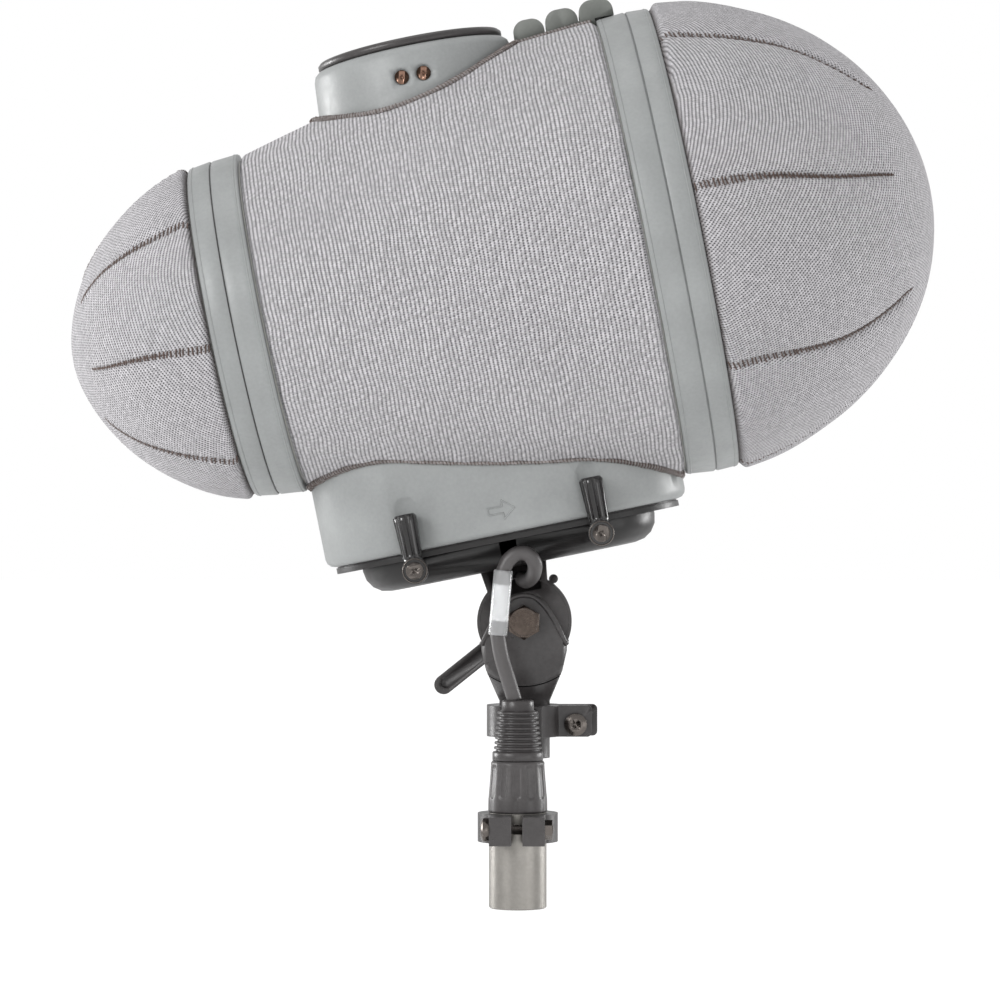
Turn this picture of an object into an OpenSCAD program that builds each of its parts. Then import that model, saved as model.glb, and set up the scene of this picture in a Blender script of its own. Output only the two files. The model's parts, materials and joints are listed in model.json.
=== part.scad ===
// Stereo microphone windshield: a knit-covered basket with two pull-off end caps, latched onto a
// tilting base tray, with its output cable and connector clamped to the swivel's stem.
// The origin is the mouth of the boom thread under the stem. +X is the front, +Z is up.
// "Head" dimensions are taken from the tilt pivot: s runs forwards and h runs upwards in the head.

/* [Pose] */
// Height of the tilt pivot above the mouth of the boom thread
pivot_z = 45.4; // [44:0.1:50]
// Nose-up tilt of the head at rest, in degrees
rest_tilt = 11.4; // [0:0.1:30]

/* [Basket] */
// Height of the basket's axis above the pivot
axis_h = 114; // [112:0.5:118]
// Basket radius over the pivot
waist_r = 69.7; // [69:0.1:71]
// Growth of the radius per millimetre towards the front
flare = 0.1626; // [0.15:0.001:0.17]
// Barrel curvature of the basket's side
barrel = 0.0008; // [0.0006:0.0001:0.001]
// Half length of the fabric between the two body rings
fabric_half = 62; // [61:0.5:62]
// Thickness of the knit cover
fabric_t = 1.6; // [1:0.1:2]
// Depth of the frame ribs under the cover
rib_t = 2.5; // [2:0.1:3]
// Width of the frame ribs
rib_w = 3; // [2:0.5:4]

/* [Front joint and cap] */
// Where the front cap parts from the body
front_split = 72; // [71.5:0.1:72.5]
// Outer radius of the front rings
front_ring_r = 77.4; // [77:0.1:78]
// Length of the front dome along the axis
front_dome_l = 80.5; // [70:0.5:90]
// Radius of the front dome at its ring
front_dome_r = 77.6; // [77:0.1:78]
// Squareness of the front dome's outline
front_power = 1.95; // [1.8:0.01:2.2]

/* [Rear joint and cap] */
// Where the rear cap parts from the body
rear_split = 71.5; // [71.3:0.1:72]
// Outer radius of the rear rings
rear_ring_r = 56.4; // [56:0.1:57]
// Length of the rear dome along the axis
rear_dome_l = 51.3; // [45:0.5:60]
// Radius of the rear dome at its ring
rear_dome_r = 55.4; // [55:0.1:56]
// Squareness of the rear dome's outline
rear_power = 1.72; // [1.6:0.01:2]

/* [Rings] */
// Length of each ring along the axis
ring_l = 9; // [8:0.5:9.5]
// Radial thickness of the spigot that each cap ring slides over
spigot_t = 1.6; // [1.4:0.1:2]
// Thickness of the seal between a body ring and a cap ring
seal_t = 0.4; // [0.3:0.1:0.6]

/* [Housing and port] */
// Half length of the bottom housing
housing_half_l = 61; // [60:0.5:61]
// Half width of the bottom housing
housing_half_w = 34; // [32:0.5:35]
// Height of the housing's underside above the pivot
housing_h = 30; // [29.9:0.1:31]
// Wall of the housing
housing_wall = 3; // [2.5:0.5:3]
// Outer radius of the top port at its rim
port_r = 33; // [32:0.5:33]
// Height of the top port's rim above the pivot
port_top_h = 192; // [190:0.5:194]
// Bore of the top port
port_bore_r = 29.4; // [28:0.1:29.5]

/* [Base] */
// Half length of the base plate
plate_half_l = 58; // [56:0.5:59]
// Half width of the base plate
plate_half_w = 31; // [29:0.5:31]
// Half length of the base tray
tray_half_l = 49.5; // [48:0.5:51]
// Half width of the base tray
tray_half_w = 22; // [20:0.5:23]
// Height of the tray's underside above the pivot
tray_h = 18.6; // [18.5:0.1:19]
// Distance of the latch levers from the head's middle, forwards and backwards
latch_s = 30.7; // [30:0.1:33]
// Distance of the latch levers from the head's middle, sideways
latch_y = 38.5; // [38:0.1:40]
// Length of a latch lever from its pivot to its tip
latch_l = 18.5; // [15:0.1:20]

/* [Swivel] */
// Radius of the knuckle disc
knuckle_r = 15.7; // [14:0.1:16]
// Half thickness of the knuckle disc
knuckle_half = 6; // [5:0.5:6]
// Radius of the stem
stem_r = 8.4; // [8:0.1:9]
// Length of the boom thread
thread_l = 12; // [10:0.5:14]
// Minor radius of the 3/8 inch boom thread
thread_r = 4; // [3.9:0.05:4.1]
// Length of the locking lever from the pivot
lever_l = 38.3; // [30:0.5:40]
// Direction of the locking lever at rest, in degrees from the front
lever_angle = 218.6; // [215:1:230]

/* [Connector and cable] */
// Front-to-back place of the connector's axis
connector_x = -1.9; // [-4:0.1:-1]
// Height of the joint between the connector's boot and back shell above the boom thread's mouth
connector_z = 1.6; // [0:0.1:2]
// Sideways place of the connector's axis
connector_y = -26; // [-27:0.1:-26]
// Radius of the connector's metal shell
shell_r = 9.4; // [9.3:0.1:9.5]
// Radius of the output cable
cable_r = 2.45; // [2:0.05:2.5]

/* [Suspension] */
// Distance of the lyres from the head's middle
lyre_s = 30; // [28:0.5:30]
// Radius of a clipped microphone
mic_r = 9.5; // [9:0.1:10]
// Height of the lower microphone's axis above the pivot
mid_mic_h = 97; // [96:0.5:97]
// Height of the upper microphone's axis above the pivot
side_mic_h = 122; // [121.5:0.5:123]

/* [Hidden] */

$fn = 64;

knit_colour = "#a9a7ab";
shell_colour = "#9fa5a2";
lug_colour = "#7a7c78";
black_colour = "#2c2a2b";
rubber_colour = "#3c3838";
steel_colour = "#8f8c88";
nickel_colour = "#5b5854";
copper_colour = "#aa7a66";
frame_colour = "#b9b9b4";

run_gap = 0.05;        // radial clearance of a turning or sliding fit
part_gap = 0.2;        // clearance between a soft cover and its neighbours

body_steps = 8;        // straight steps along the basket's barrel
dome_steps = 9;        // straight steps along a dome's outline

housing_straight = housing_half_l - housing_half_w;
plate_h = 27.6;        // underside of the base plate
plate_top_h = 29.5;
tray_wall = 2.4;
tray_corner_r = 8;

front_bore_r = front_ring_r - 5;
rear_bore_r = rear_ring_r - 3.8;

cheek_in = 6.3;        // inner face of the yoke's cheeks
cheek_out = 13;        // outer face of the yoke's cheeks
bolt_r = 3;

// ---------- placing ----------

module head() {
    translate([0, 0, pivot_z]) rotate([0, -rest_tilt, 0]) children();
}

// Local z runs forwards along the basket's axis and local x points down
module along_basket() {
    head() translate([0, 0, axis_h]) rotate([0, 90, 0]) children();
}

module across(y_start) {
    translate([0, y_start, 0]) rotate([-90, 0, 0]) children();
}

// A round bar from point a to point b
module bar(a, b, r) {
    v = b - a;
    translate(a)
        rotate([0, acos(v.z / norm(v)), atan2(v.y, v.x)])
            cylinder(h = norm(v), r = r);
}

// ---------- profiles ----------

function body_r(s) = waist_r + flare * s - barrel * s * s;

// Points [radius, s] along the basket's side, at a depth below the cover's surface
function body_line(depth, s_from, s_to) =
    [for (i = [0 : body_steps])
        let (s = s_from + (s_to - s_from) * i / body_steps)
            [body_r(s) - depth, s]];

// Points [radius, s] along a dome from its ring to its tip; side is 1 in front and -1 behind
function dome_line(r, l, power, s_ring, side, t_end = 90) =
    [for (i = [0 : dome_steps])
        let (t = t_end * i / dome_steps)
            [r * pow(max(cos(t), 0), 2 / power), s_ring + side * l * pow(sin(t), 2 / power)]];

function backwards(list) = [for (i = [len(list) - 1 : -1 : 0]) list[i]];

module body_wall(depth, thick, s_from, s_to) {
    polygon(concat(body_line(depth, s_from, s_to), backwards(body_line(depth + thick, s_from, s_to))));
}

module dome_wall(r, l, power, s_ring, side, depth, thick, t_end = 90) {
    outer = dome_line(r - depth, l - depth, power, s_ring, side, t_end);
    inner = dome_line(r - depth - thick, l - depth - thick, power, s_ring, side, t_end);
    polygon(concat(outer, backwards(inner)));
}

module ring_2d(r_in, r_out, s_from, s_to) {
    translate([r_in, s_from]) square([r_out - r_in, s_to - s_from]);
}

// A stadium-shaped block between two heights
module stadium(half_l, half_w, h_from, h_to) {
    straight = half_l - half_w;
    translate([0, 0, h_from]) {
        for (side = [-1, 1])
            translate([side * straight, 0, 0]) cylinder(h = h_to - h_from, r = half_w);
        translate([-straight, -half_w, 0]) cube([2 * straight, 2 * half_w, h_to - h_from]);
    }
}

// Sweeps a half profile [distance from the middle line, height] round a stadium
module stadium_sweep(straight) {
    for (side = [-1, 1])
        translate([side * straight, 0, 0])
            rotate([0, 0, -90 * side]) rotate_extrude(angle = 180) children();
    for (side = [-1, 1])
        rotate([90, 0, 90]) linear_extrude(2 * straight, center = true)
            scale([side, 1]) children();
}

// ---------- swivel ----------

module cheek_outline() {
    circle(r = 9.5);
    polygon([[-8.4, 4.4], [8.4, 4.4], [11.4, 0], [14.1, -7.2], [14.1, -9.4], [12.6, -16], [9.6, -23.4],
        [stem_r, -26.4], [-stem_r, -26.4], [-9.6, -23.4], [-12.6, -16], [-14.1, -9.4], [-14.1, -7.2],
        [-11.4, 0]]);
}

module swivel_yoke() color(black_colour) {
    difference() {
        union() {
            cylinder(h = 22, r = stem_r);
            intersection() {
                translate([0, 0, pivot_z]) rotate([90, 0, 0])
                    linear_extrude(2 * cheek_out, center = true) cheek_outline();
                union() {
                    translate([0, 0, 12]) cylinder(h = 19.5, r1 = 3, r2 = 18);
                    translate([0, 0, 31.4]) cylinder(h = 40, r = 18);
                }
            }
        }
        across(-cheek_in) translate([0, -pivot_z, 0])
            cylinder(h = 2 * cheek_in, r = knuckle_r + 0.6);
        translate([-20, -cheek_in, pivot_z]) cube([40, 2 * cheek_in, 20]);
        across(-20) translate([0, -pivot_z, 0]) cylinder(h = 40, r = bolt_r + run_gap);
        translate([0, 0, -1]) cylinder(h = thread_l + 3, r = 6.5);
    }
}

module thread_insert() color(copper_colour) {
    difference() {
        cylinder(h = thread_l, r = 6.4);
        translate([0, 0, -1]) cylinder(h = thread_l + 2, r = thread_r);
    }
}

module pivot_bolt() color(steel_colour) {
    across(-cheek_out - 2) translate([0, -pivot_z, 0]) cylinder(h = 32.9, r = bolt_r);
    across(-cheek_out - 4.6) translate([0, -pivot_z, 0])
        rotate([0, 0, 30]) cylinder(h = 4, r = 5.77, $fn = 6);
}

module pivot_washer() color(steel_colour) {
    across(-cheek_out - 0.6) translate([0, -pivot_z, 0]) difference() {
        cylinder(h = 0.6, r = 4.95);
        translate([0, 0, -1]) cylinder(h = 3, r = bolt_r + run_gap);
    }
}

// The lever lies in the pivot's vertical plane, with its length along local x
module lock_lever() color(black_colour) {
    translate([0, 0, pivot_z]) rotate([0, -lever_angle, 0]) difference() {
        union() {
            across(13.1) cylinder(h = 4.9, r = 9);
            across(14) {
                translate([0, -3.2, 0]) cube([lever_l - 3.2, 6.4, 4]);
                translate([lever_l - 3.2, 0, 0]) cylinder(h = 4, r = 3.2);
            }
        }
        across(13.9) {
            translate([12, -1.7, 0]) cube([lever_l - 16.2, 3.4, 1.6]);
            translate([lever_l - 4.2, 0, 0]) cylinder(h = 1.6, r = 1.7);
        }
        across(12) cylinder(h = 10, r = bolt_r + run_gap);
        across(15.5) rotate([0, 0, 30]) cylinder(h = 4, r = 5.83, $fn = 6);
    }
}

module lever_nut() color(steel_colour) {
    translate([0, 0, pivot_z]) rotate([0, -lever_angle, 0]) across(15.6) difference() {
        rotate([0, 0, 30]) cylinder(h = 3.6, r = 5.72, $fn = 6);
        translate([0, 0, -1]) cylinder(h = 6, r = bolt_r + run_gap);
    }
}

module swivel_knuckle() color(black_colour) {
    neck_top = tray_h - 0.1;
    floor_h = 9.6;
    head() difference() {
        union() {
            across(-knuckle_half) cylinder(h = 2 * knuckle_half, r = knuckle_r);
            rotate([90, 0, 0]) linear_extrude(2 * knuckle_half, center = true)
                polygon([[-9.3, 6], [9.3, 6], [11, neck_top], [-11, neck_top]]);
            across(-1.5) translate([12.2, -11.9, 0]) cylinder(h = 3, r = 1.5);
        }
        rotate([90, 0, 0]) translate([0, 0, -2.4]) linear_extrude(20)
            polygon([[-7.7, floor_h], [7.7, floor_h], [9.3, neck_top + 1], [-9.3, neck_top + 1]]);
        across(-10) cylinder(h = 20, r = bolt_r + run_gap);
        for (s = [-5.5, 5.5])
            translate([s, 4.2, neck_top - 6]) cylinder(h = 8, r = 1.25);
    }
}

module knuckle_screws() color(steel_colour) {
    head() for (s = [-5.5, 5.5]) translate([s, 4.2, 0]) {
        translate([0, 0, tray_h - 5]) cylinder(h = 5 + tray_wall, r = 1.2);
        translate([0, 0, tray_h + tray_wall]) cylinder(h = 1.6, r = 2.6);
    }
}

// ---------- connector and cable ----------

module clamp_slab(size, corner) {
    translate([0, corner, 0]) cube([size.x, size.y - 2 * corner, size.z]);
    cube([size.x - corner, size.y, size.z]);
    for (v = [corner, size.y - corner])
        translate([size.x - corner, v, 0]) cylinder(h = size.z, r = corner);
}

module stem_clamp() color(black_colour) {
    z_from = 7.2;
    height = 10.4;
    difference() {
        union() {
            translate([0, 0, z_from]) cylinder(h = height, r = 12.6);
            for (y = [-5.2, 1.6])
                translate([8, y + 3.6, z_from]) rotate([90, 0, 0])
                    clamp_slab([y > 0 ? 16.2 : 14.4, height, 3.6], 1.6);
        }
        translate([0, 0, z_from - 1]) cylinder(h = height + 2, r = stem_r + 0.02);
        translate([0, -1.6, z_from - 1]) cube([40, 3.2, height + 2]);
        across(-20) translate([17, -11.3, 0]) cylinder(h = 40, r = 1.7);
        for (x = [-5.5, 3]) across(-20) translate([x, -15, 0]) cylinder(h = 10.5, r = 1.1);
        translate([-20, -20, z_from - 1]) cube([40, 7.8, height + 2]);
    }
}

module connector_clamp() color(black_colour) {
    z_from = -25.6;
    height = 9.3;
    difference() {
        union() {
            translate([connector_x, connector_y, z_from]) cylinder(h = height, r = 13.1);
            for (side = [-1, 1])
                translate([connector_x + side * 5.4 - 3.6, connector_y - 20.5, z_from])
                    cube([7.2, 14, height]);
            translate([-8, -15.6, z_from]) cube([14, 3.3, 17.6 - z_from]);
        }
        translate([connector_x, connector_y, z_from - 1]) cylinder(h = height + 2, r = shell_r + 0.02);
        translate([connector_x - 1.8, connector_y - 30, z_from - 1]) cube([3.6, 24, height + 2]);
        translate([-20, connector_y - 17.2, clamp_screw_z]) rotate([0, 90, 0]) cylinder(h = 40, r = 1.7);
        for (x = [-5.5, 3]) across(-20) translate([x, -15, 0]) cylinder(h = 10.5, r = 1.1);
    }
}

module clamp_rivets() color(steel_colour) {
    for (x = [-5.5, 3]) translate([x, 0, 15]) {
        across(-16.4) cylinder(h = 0.8, r = 2);
        across(-15.6) cylinder(h = 5.9, r = 1.05);
    }
}

// A screw along local z with a domed head, then its nut
module pan_head(r, h) {
    intersection() {
        cylinder(h = h, r = r);
        translate([0, 0, 1.65 * r]) sphere(r = 1.75 * r);
    }
}

module clamp_screws() color(nickel_colour) {
    translate([17, 0, 11.3]) {
        across(-7.8) pan_head(3.7, 2.6);
        across(-5.2) cylinder(h = 12.8, r = 1.6);
    }
    translate([connector_x - 9, connector_y - 17.2, clamp_screw_z]) rotate([0, 90, 0]) {
        translate([0, 0, -2.8]) pan_head(3.8, 2.8);
        cylinder(h = 20.6, r = 1.6);
    }
}

module clamp_nuts() color(nickel_colour) {
    translate([17, 0, 11.3]) across(5.2) difference() {
        cylinder(h = 2.4, r = 3.2, $fn = 6);
        translate([0, 0, -1]) cylinder(h = 5, r = 1.62);
    }
    translate([connector_x + 9, connector_y - 17.2, clamp_screw_z]) rotate([0, 90, 0]) difference() {
        cylinder(h = 2.4, r = 3.2, $fn = 6);
        translate([0, 0, -1]) cylinder(h = 5, r = 1.62);
    }
}

module on_connector() {
    translate([connector_x, connector_y, connector_z]) children();
}

// The boot's ribs widen downwards; every rib has a flat crest and a flat groove
module connector_boot() color(black_colour) {
    ribs = 8;
    pitch = 1.64;
    groove_step = 0.9;
    rib_points = [for (i = [0 : ribs - 1])
        let (z = 15.2 - i * pitch, r = 6.6 + 1.2 * i / (ribs - 1))
            each [[r - groove_step, z], [r, z - 0.2], [r, z - 0.8], [r - groove_step, z - 1]]];
    on_connector() rotate_extrude()
        polygon(concat([[cable_r + run_gap, 18.9], [4.9, 18.9], [5.2, 18.5], [5.2, 15.4]], rib_points,
            [[8.3, 1.9], [8.3, -0.9], [cable_r + run_gap, -0.9]]));
}

module connector_back_shell() color(black_colour) {
    on_connector() rotate_extrude()
        polygon([[7, -1], [8.8, -1.2], [9.1, -3], [9.6, -9], [9.65, -17.7], [7, -17.7]]);
}

module connector_shell() color(steel_colour) {
    on_connector() rotate_extrude()
        polygon([[8.2, -17.8], [shell_r, -17.8], [shell_r, -48.6], [shell_r - 0.4, -49],
            [8.2, -49]]);
}

module connector_insert() color(black_colour) {
    on_connector() difference() {
        translate([0, 0, -38]) cylinder(h = 14, r = 8.1);
        for (i = [0 : 4]) rotate([0, 0, 72 * i + 90])
            translate([4.6, 0, -39]) cylinder(h = 16, r = 1.2);
    }
}

module connector_pins() color(copper_colour) {
    on_connector() for (i = [0 : 4]) rotate([0, 0, 72 * i + 90])
        translate([4.6, 0, -47.5]) cylinder(h = 25, r = 1.15);
}

clamp_screw_z = -20.5;  // height of the screw through the connector clamp's two ears
sleeve_top = [-6.6, -25.8, 62.8];
sleeve_end = [-8.5, -25.2, 41.6];
cable_path = [[-0.8, -0.4, 59.6], [-0.5, -5, 59.2], [0.9, -12, 59], [3, -19, 61], [3.6, -24, 64.8],
    [1.5, -26, 67.9], [-1.9, -26.2, 68.3], [-4.8, -26, 66.2], sleeve_top, sleeve_end, [-7.3, -25.4, 34.6],
    [-5.3, -25.8, 28], [connector_x - 1, connector_y, 20.7]];

module output_cable() color(rubber_colour) {
    for (i = [1 : len(cable_path) - 1])
        hull() {
            translate(cable_path[i - 1]) sphere(r = cable_r, $fn = 16);
            translate(cable_path[i]) sphere(r = i == len(cable_path) - 1 ? 0.3 : cable_r, $fn = 16);
        }
}

// A tube round the straight stretch of the cable, between two fractions of that stretch
module cable_tube(from, to, r_in, r_out) {
    a = sleeve_top + (sleeve_end - sleeve_top) * from;
    b = sleeve_top + (sleeve_end - sleeve_top) * to;
    overrun = (sleeve_end - sleeve_top) * 0.05;
    difference() {
        bar(a, b, r_out);
        bar(a - overrun, b + overrun, r_in);
    }
}

module cable_sleeve() color("#d9dcdc") cable_tube(0, 1, 2.8, 3.1);

module cable_label() color("#eeeeee") cable_tube(0.22, 0.78, 2.55, 2.75);

// ---------- base ----------

module tray_profile(inset) {
    r = tray_half_w - inset;
    low = tray_h + inset;
    corner = tray_corner_r - inset / 2;
    polygon(concat([[0, low]],
        [for (i = [0 : 4]) let (a = 90 * i / 4) [r - corner + corner * sin(a), low + corner - corner * cos(a)]],
        [[r, plate_h + (inset > 0 ? 5 : 0)], [0, plate_h + (inset > 0 ? 5 : 0)]]));
}

module base_tray() color(black_colour) {
    straight = tray_half_l - tray_half_w;
    head() difference() {
        union() {
            stadium_sweep(straight) tray_profile(0);
            for (s = [-latch_s, latch_s], side = [-1, 1])
                translate([s, 0, 24]) rotate([-90 * side, 0, 0])
                    translate([0, 0, 19]) cylinder(h = 14.6, r = 3.5);
        }
        stadium_sweep(straight) tray_profile(tray_wall);
        translate([-2.8, -tray_half_w - 1, tray_h - 1]) cube([5.6, 6, 20]);
        translate([0, 0, tray_h - 1]) cylinder(h = 10, r = 3.4);
        for (s = [-5.5, 5.5]) translate([s, 4.2, tray_h - 1]) cylinder(h = 10, r = 1.25);
        for (s = [-latch_s, latch_s]) across(-50) translate([s, -24, 0]) cylinder(h = 100, r = 1.55);
    }
}

module base_plate() color(black_colour) {
    head() difference() {
        stadium(plate_half_l, plate_half_w, plate_h, plate_top_h);
        translate([0, 0, plate_h - 1]) cylinder(h = 5, r = 3.4);
        for (s = [-40, 40]) translate([s, 0, plate_h - 1]) cylinder(h = 5, r = 1.55);
    }
}

module base_gasket() color(rubber_colour) {
    head() difference() {
        stadium(plate_half_l - 0.5, plate_half_w - 0.5, plate_top_h, plate_top_h + 0.4);
        stadium(plate_half_l - 3, plate_half_w - 3, plate_top_h - 1, plate_top_h + 2);
    }
}

module latch_screws() color(nickel_colour) {
    head() for (s = [-latch_s, latch_s], side = [-1, 1])
        translate([s, 0, 24]) rotate([-90 * side, 0, 0]) {
            translate([0, 0, latch_y + 4.2]) pan_head(2.85, 1.7);
            translate([0, 0, 25]) cylinder(h = latch_y - 20.8, r = 1.5);
        }
}

module latch_washers() color(steel_colour) {
    head() for (s = [-latch_s, latch_s], side = [-1, 1])
        translate([s, 0, 24]) rotate([-90 * side, 0, 0])
            translate([0, 0, latch_y + 3.4]) difference() {
                cylinder(h = 0.8, r = 4);
                translate([0, 0, -1]) cylinder(h = 3, r = 1.55);
            }
}

// A fluted finger lever that turns on a cross screw; side is 1 on the left and -1 on the right
module latch_lever(s, side) {
    flutes = 9;
    tip_r = 3.9;
    root_r = 3.2;
    color(black_colour) head() translate([s, side * latch_y, 24]) difference() {
        union() {
            rotate([-90 * side, 0, 0]) translate([0, 0, -4.3]) cylinder(h = 7.6, r = 4.3);
            translate([0, 0, 2]) cylinder(h = latch_l - 3, r1 = root_r, r2 = tip_r);
            translate([0, 0, latch_l - 1]) cylinder(h = 1, r1 = tip_r, r2 = tip_r - 0.8);
        }
        for (i = [0 : flutes - 1]) rotate([0, 0, 360 * i / flutes])
            translate([root_r + 0.35, 0, 5]) rotate([0, 2.2, 0]) cylinder(h = latch_l, r = 0.55);
        across(-10) cylinder(h = 20, r = 1.55);
    }
}

module latch_front_right() latch_lever(latch_s, -1);

module latch_rear_right() latch_lever(-latch_s, -1);

module latch_front_left() latch_lever(latch_s, 1);

module latch_rear_left() latch_lever(-latch_s, 1);

// ---------- suspension ----------

rail_top_h = 33.5;

module suspension_rail() color(black_colour) {
    head() difference() {
        translate([-45, -8, plate_top_h]) cube([90, 16, rail_top_h - plate_top_h]);
        for (s = [-40, 40]) translate([s, 0, plate_top_h - 1]) {
            cylinder(h = 10, r = 1.55);
            translate([0, 0, 3.2]) cylinder(h = 10, r = 3);
        }
        translate([0, 0, plate_top_h - 1]) cylinder(h = 10, r = 3.4);
    }
}

module rail_screws() color(steel_colour) {
    head() for (s = [-40, 40]) translate([s, 0, plate_h - 2]) {
        cylinder(h = 6.1, r = 1.5);
        translate([0, 0, 6.1]) cylinder(h = 1.5, r = 2.8);
    }
}

module bar_2d(a, b, w) {
    v = b - a;
    translate(a) rotate(atan2(v.y, v.x)) translate([0, -w / 2]) square([norm(v), w]);
    translate(b) circle(d = w);
}

// A springy loop on each side carries the hub that the microphone bar sits on
module lyre(s) {
    loop_y = 13.6;
    loop_h = 56;
    color(black_colour) head() translate([s, 0, 0]) rotate([90, 0, 90])
        linear_extrude(4, center = true) {
            translate([-8, rail_top_h]) square([16, 4]);
            for (side = [-1, 1]) {
                bar_2d([side * 6, rail_top_h + 3], [side * loop_y, loop_h - 11.1], 1.8);
                difference() {
                    translate([side * loop_y, loop_h]) circle(r = 12);
                    translate([side * loop_y, loop_h]) circle(r = 10.2);
                    translate([side * 7 - 7, loop_h - 8]) square([14, 16]);
                }
                bar_2d([side * loop_y, loop_h + 11.1], [side * 4.5, 78], 1.8);
            }
            translate([-6, 76.5]) square([12, 3.5]);
        }
}

module lyre_front() lyre(lyre_s);

module lyre_rear() lyre(-lyre_s);

module connection_box() color(black_colour) {
    head() difference() {
        translate([-16, -14, rail_top_h]) cube([32, 28, 12.4]);
        translate([-14, -12, rail_top_h + 2]) cube([28, 24, 12]);
        translate([0, 0, rail_top_h - 1]) cylinder(h = 5, r = 3.4);
        rotate([0, 90, 0]) for (y = [-6, 6])
            translate([-rail_top_h - 7, y, -20]) cylinder(h = 40, r = 3.1);
    }
}

module box_lid() color(black_colour) {
    head() translate([-16, -14, rail_top_h + 12.4]) cube([32, 28, 1.6]);
}

module box_sockets() color(steel_colour) {
    head() rotate([0, 90, 0]) for (y = [-6, 6], end = [-20.5, 13])
        translate([-rail_top_h - 7, y, end]) difference() {
            cylinder(h = 7.5, r = 3.05);
            translate([0, 0, -1]) cylinder(h = 10, r = 1.9);
        }
}

module mic_bar() color(black_colour) {
    head() translate([-38, -6, 80]) cube([76, 12, 4]);
}

// A snap clip: three quarters of a ring on a short foot
module mic_clip(s, h, foot_h) {
    color(black_colour) head() translate([s, 0, 0]) rotate([90, 0, 90])
        linear_extrude(8, center = true) difference() {
            union() {
                translate([0, h]) circle(r = mic_r + 2.5);
                translate([-4, foot_h]) square([8, h - foot_h - mic_r - 1]);
            }
            translate([0, h]) circle(r = mic_r);
            translate([2, h - 5.5]) square([20, 11]);
        }
}

module mid_clip_front() mic_clip(24, mid_mic_h, 84);

module mid_clip_rear() mic_clip(-24, mid_mic_h, 84);

module side_clip_front() mic_clip(24, side_mic_h, mid_mic_h + mic_r + 2.5);

module side_clip_rear() mic_clip(-24, side_mic_h, mid_mic_h + mic_r + 2.5);

// ---------- basket ----------

// The shapes that the cover and frame leave free for the housing, the port and the lugs
module basket_openings(gap) {
    head() {
        stadium(housing_half_l + gap, housing_half_w + gap, 20, 75);
        translate([0, 0, 150]) cylinder(h = 60, r = port_r + 1.8 + gap);
    }
}

module lug_slot(gap) {
    head() translate([30, -7 - gap, 160]) cube([32.6, 14 + 2 * gap, 40]);
}

module bottom_housing() color(shell_colour) {
    edge = 3;
    inner = housing_half_w - housing_wall;
    lip = inner - 3;
    difference() {
        head() stadium_sweep(housing_straight)
            polygon(concat([[lip, housing_h]],
                [for (i = [0 : 3]) let (a = 30 * i)
                    [housing_half_w - edge + edge * sin(a), housing_h + edge - edge * cos(a)]],
                [[housing_half_w, 66], [inner, 66], [inner, housing_h + 2.5], [lip, housing_h + 2.5]]));
        along_basket() rotate_extrude()
            polygon(concat([[0, -66]], [[body_r(-66) - 4, -66]], body_line(4, -fabric_half, fabric_half),
                [[body_r(66) - 4, 66], [0, 66]]));
        head() for (s = [-latch_s, latch_s], side = [-1, 1]) {
            translate([s, side * (housing_half_w + 6.5), housing_h - 1]) cylinder(h = 15, r = 8);
            translate([s, side * (housing_half_w + 6.5), housing_h + 14]) sphere(r = 8);
        }
    }
}

module top_port_housing() color(shell_colour) {
    head() difference() {
        rotate_extrude() polygon([[port_bore_r, 168], [port_r + 1.6, 168], [port_r + 0.2, port_top_h - 3],
            [port_r - 0.4, port_top_h - 1.2], [port_r - 1.6, port_top_h - 0.2],
            [port_r - 2.4, port_top_h], [port_bore_r, port_top_h]]);
        for (s = [-3.6, 3.6], side = [-1, 1])
            translate([s, 0, port_top_h - 10]) rotate([-90 * side, 0, 0]) {
                translate([0, 0, port_r - 0.9]) cylinder(h = 5, r = 2.8);
                translate([0, 0, port_r - 6]) cylinder(h = 6, r = 1.15);
                translate([0, 0, port_r - 2]) cylinder(h = 1.2, r1 = 1.15, r2 = 2.38);
            }
    }
}

module port_screws() color(copper_colour) {
    head() for (s = [-3.6, 3.6], side = [-1, 1])
        translate([s, 0, port_top_h - 10]) rotate([-90 * side, 0, 0]) {
            translate([0, 0, port_r - 1.95]) cylinder(h = 1.2, r1 = 1.1, r2 = 2.33);
            translate([0, 0, port_r - 3.4]) cylinder(h = 1.5, r = 1.1);
        }
}

// A gently dished disc on a plug skirt
module port_lid() color(rubber_colour) {
    rim = 31;
    head() rotate_extrude()
        polygon([[0, port_top_h + 0.1], [port_bore_r - 3, port_top_h + 0.1], [port_bore_r - 3, port_top_h - 6],
            [port_bore_r - run_gap, port_top_h - 6], [port_bore_r - run_gap, port_top_h + 0.1],
            [rim - 0.6, port_top_h + 0.1], [rim, port_top_h + 0.8], [rim, port_top_h + 2],
            [rim - 0.8, port_top_h + 2.8], [rim - 1.8, port_top_h + 3], [rim - 3, port_top_h + 2.4],
            [0, port_top_h + 2.4]]);
}

// Three round-shouldered finger lugs on a common spine
module lug(s_from, s_to, top_r) {
    corner = 4.2;
    root = 70;
    translate([s_from, root]) square([s_to - s_from, top_r - corner - root]);
    translate([s_from + corner, root]) square([s_to - s_from - 2 * corner, top_r - root]);
    for (s = [s_from + corner, s_to - corner])
        translate([s, top_r - corner]) circle(r = corner);
}

module lug_plate(half_w) {
    head() translate([0, half_w, axis_h]) rotate([90, 0, 0]) linear_extrude(2 * half_w) children();
}

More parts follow.
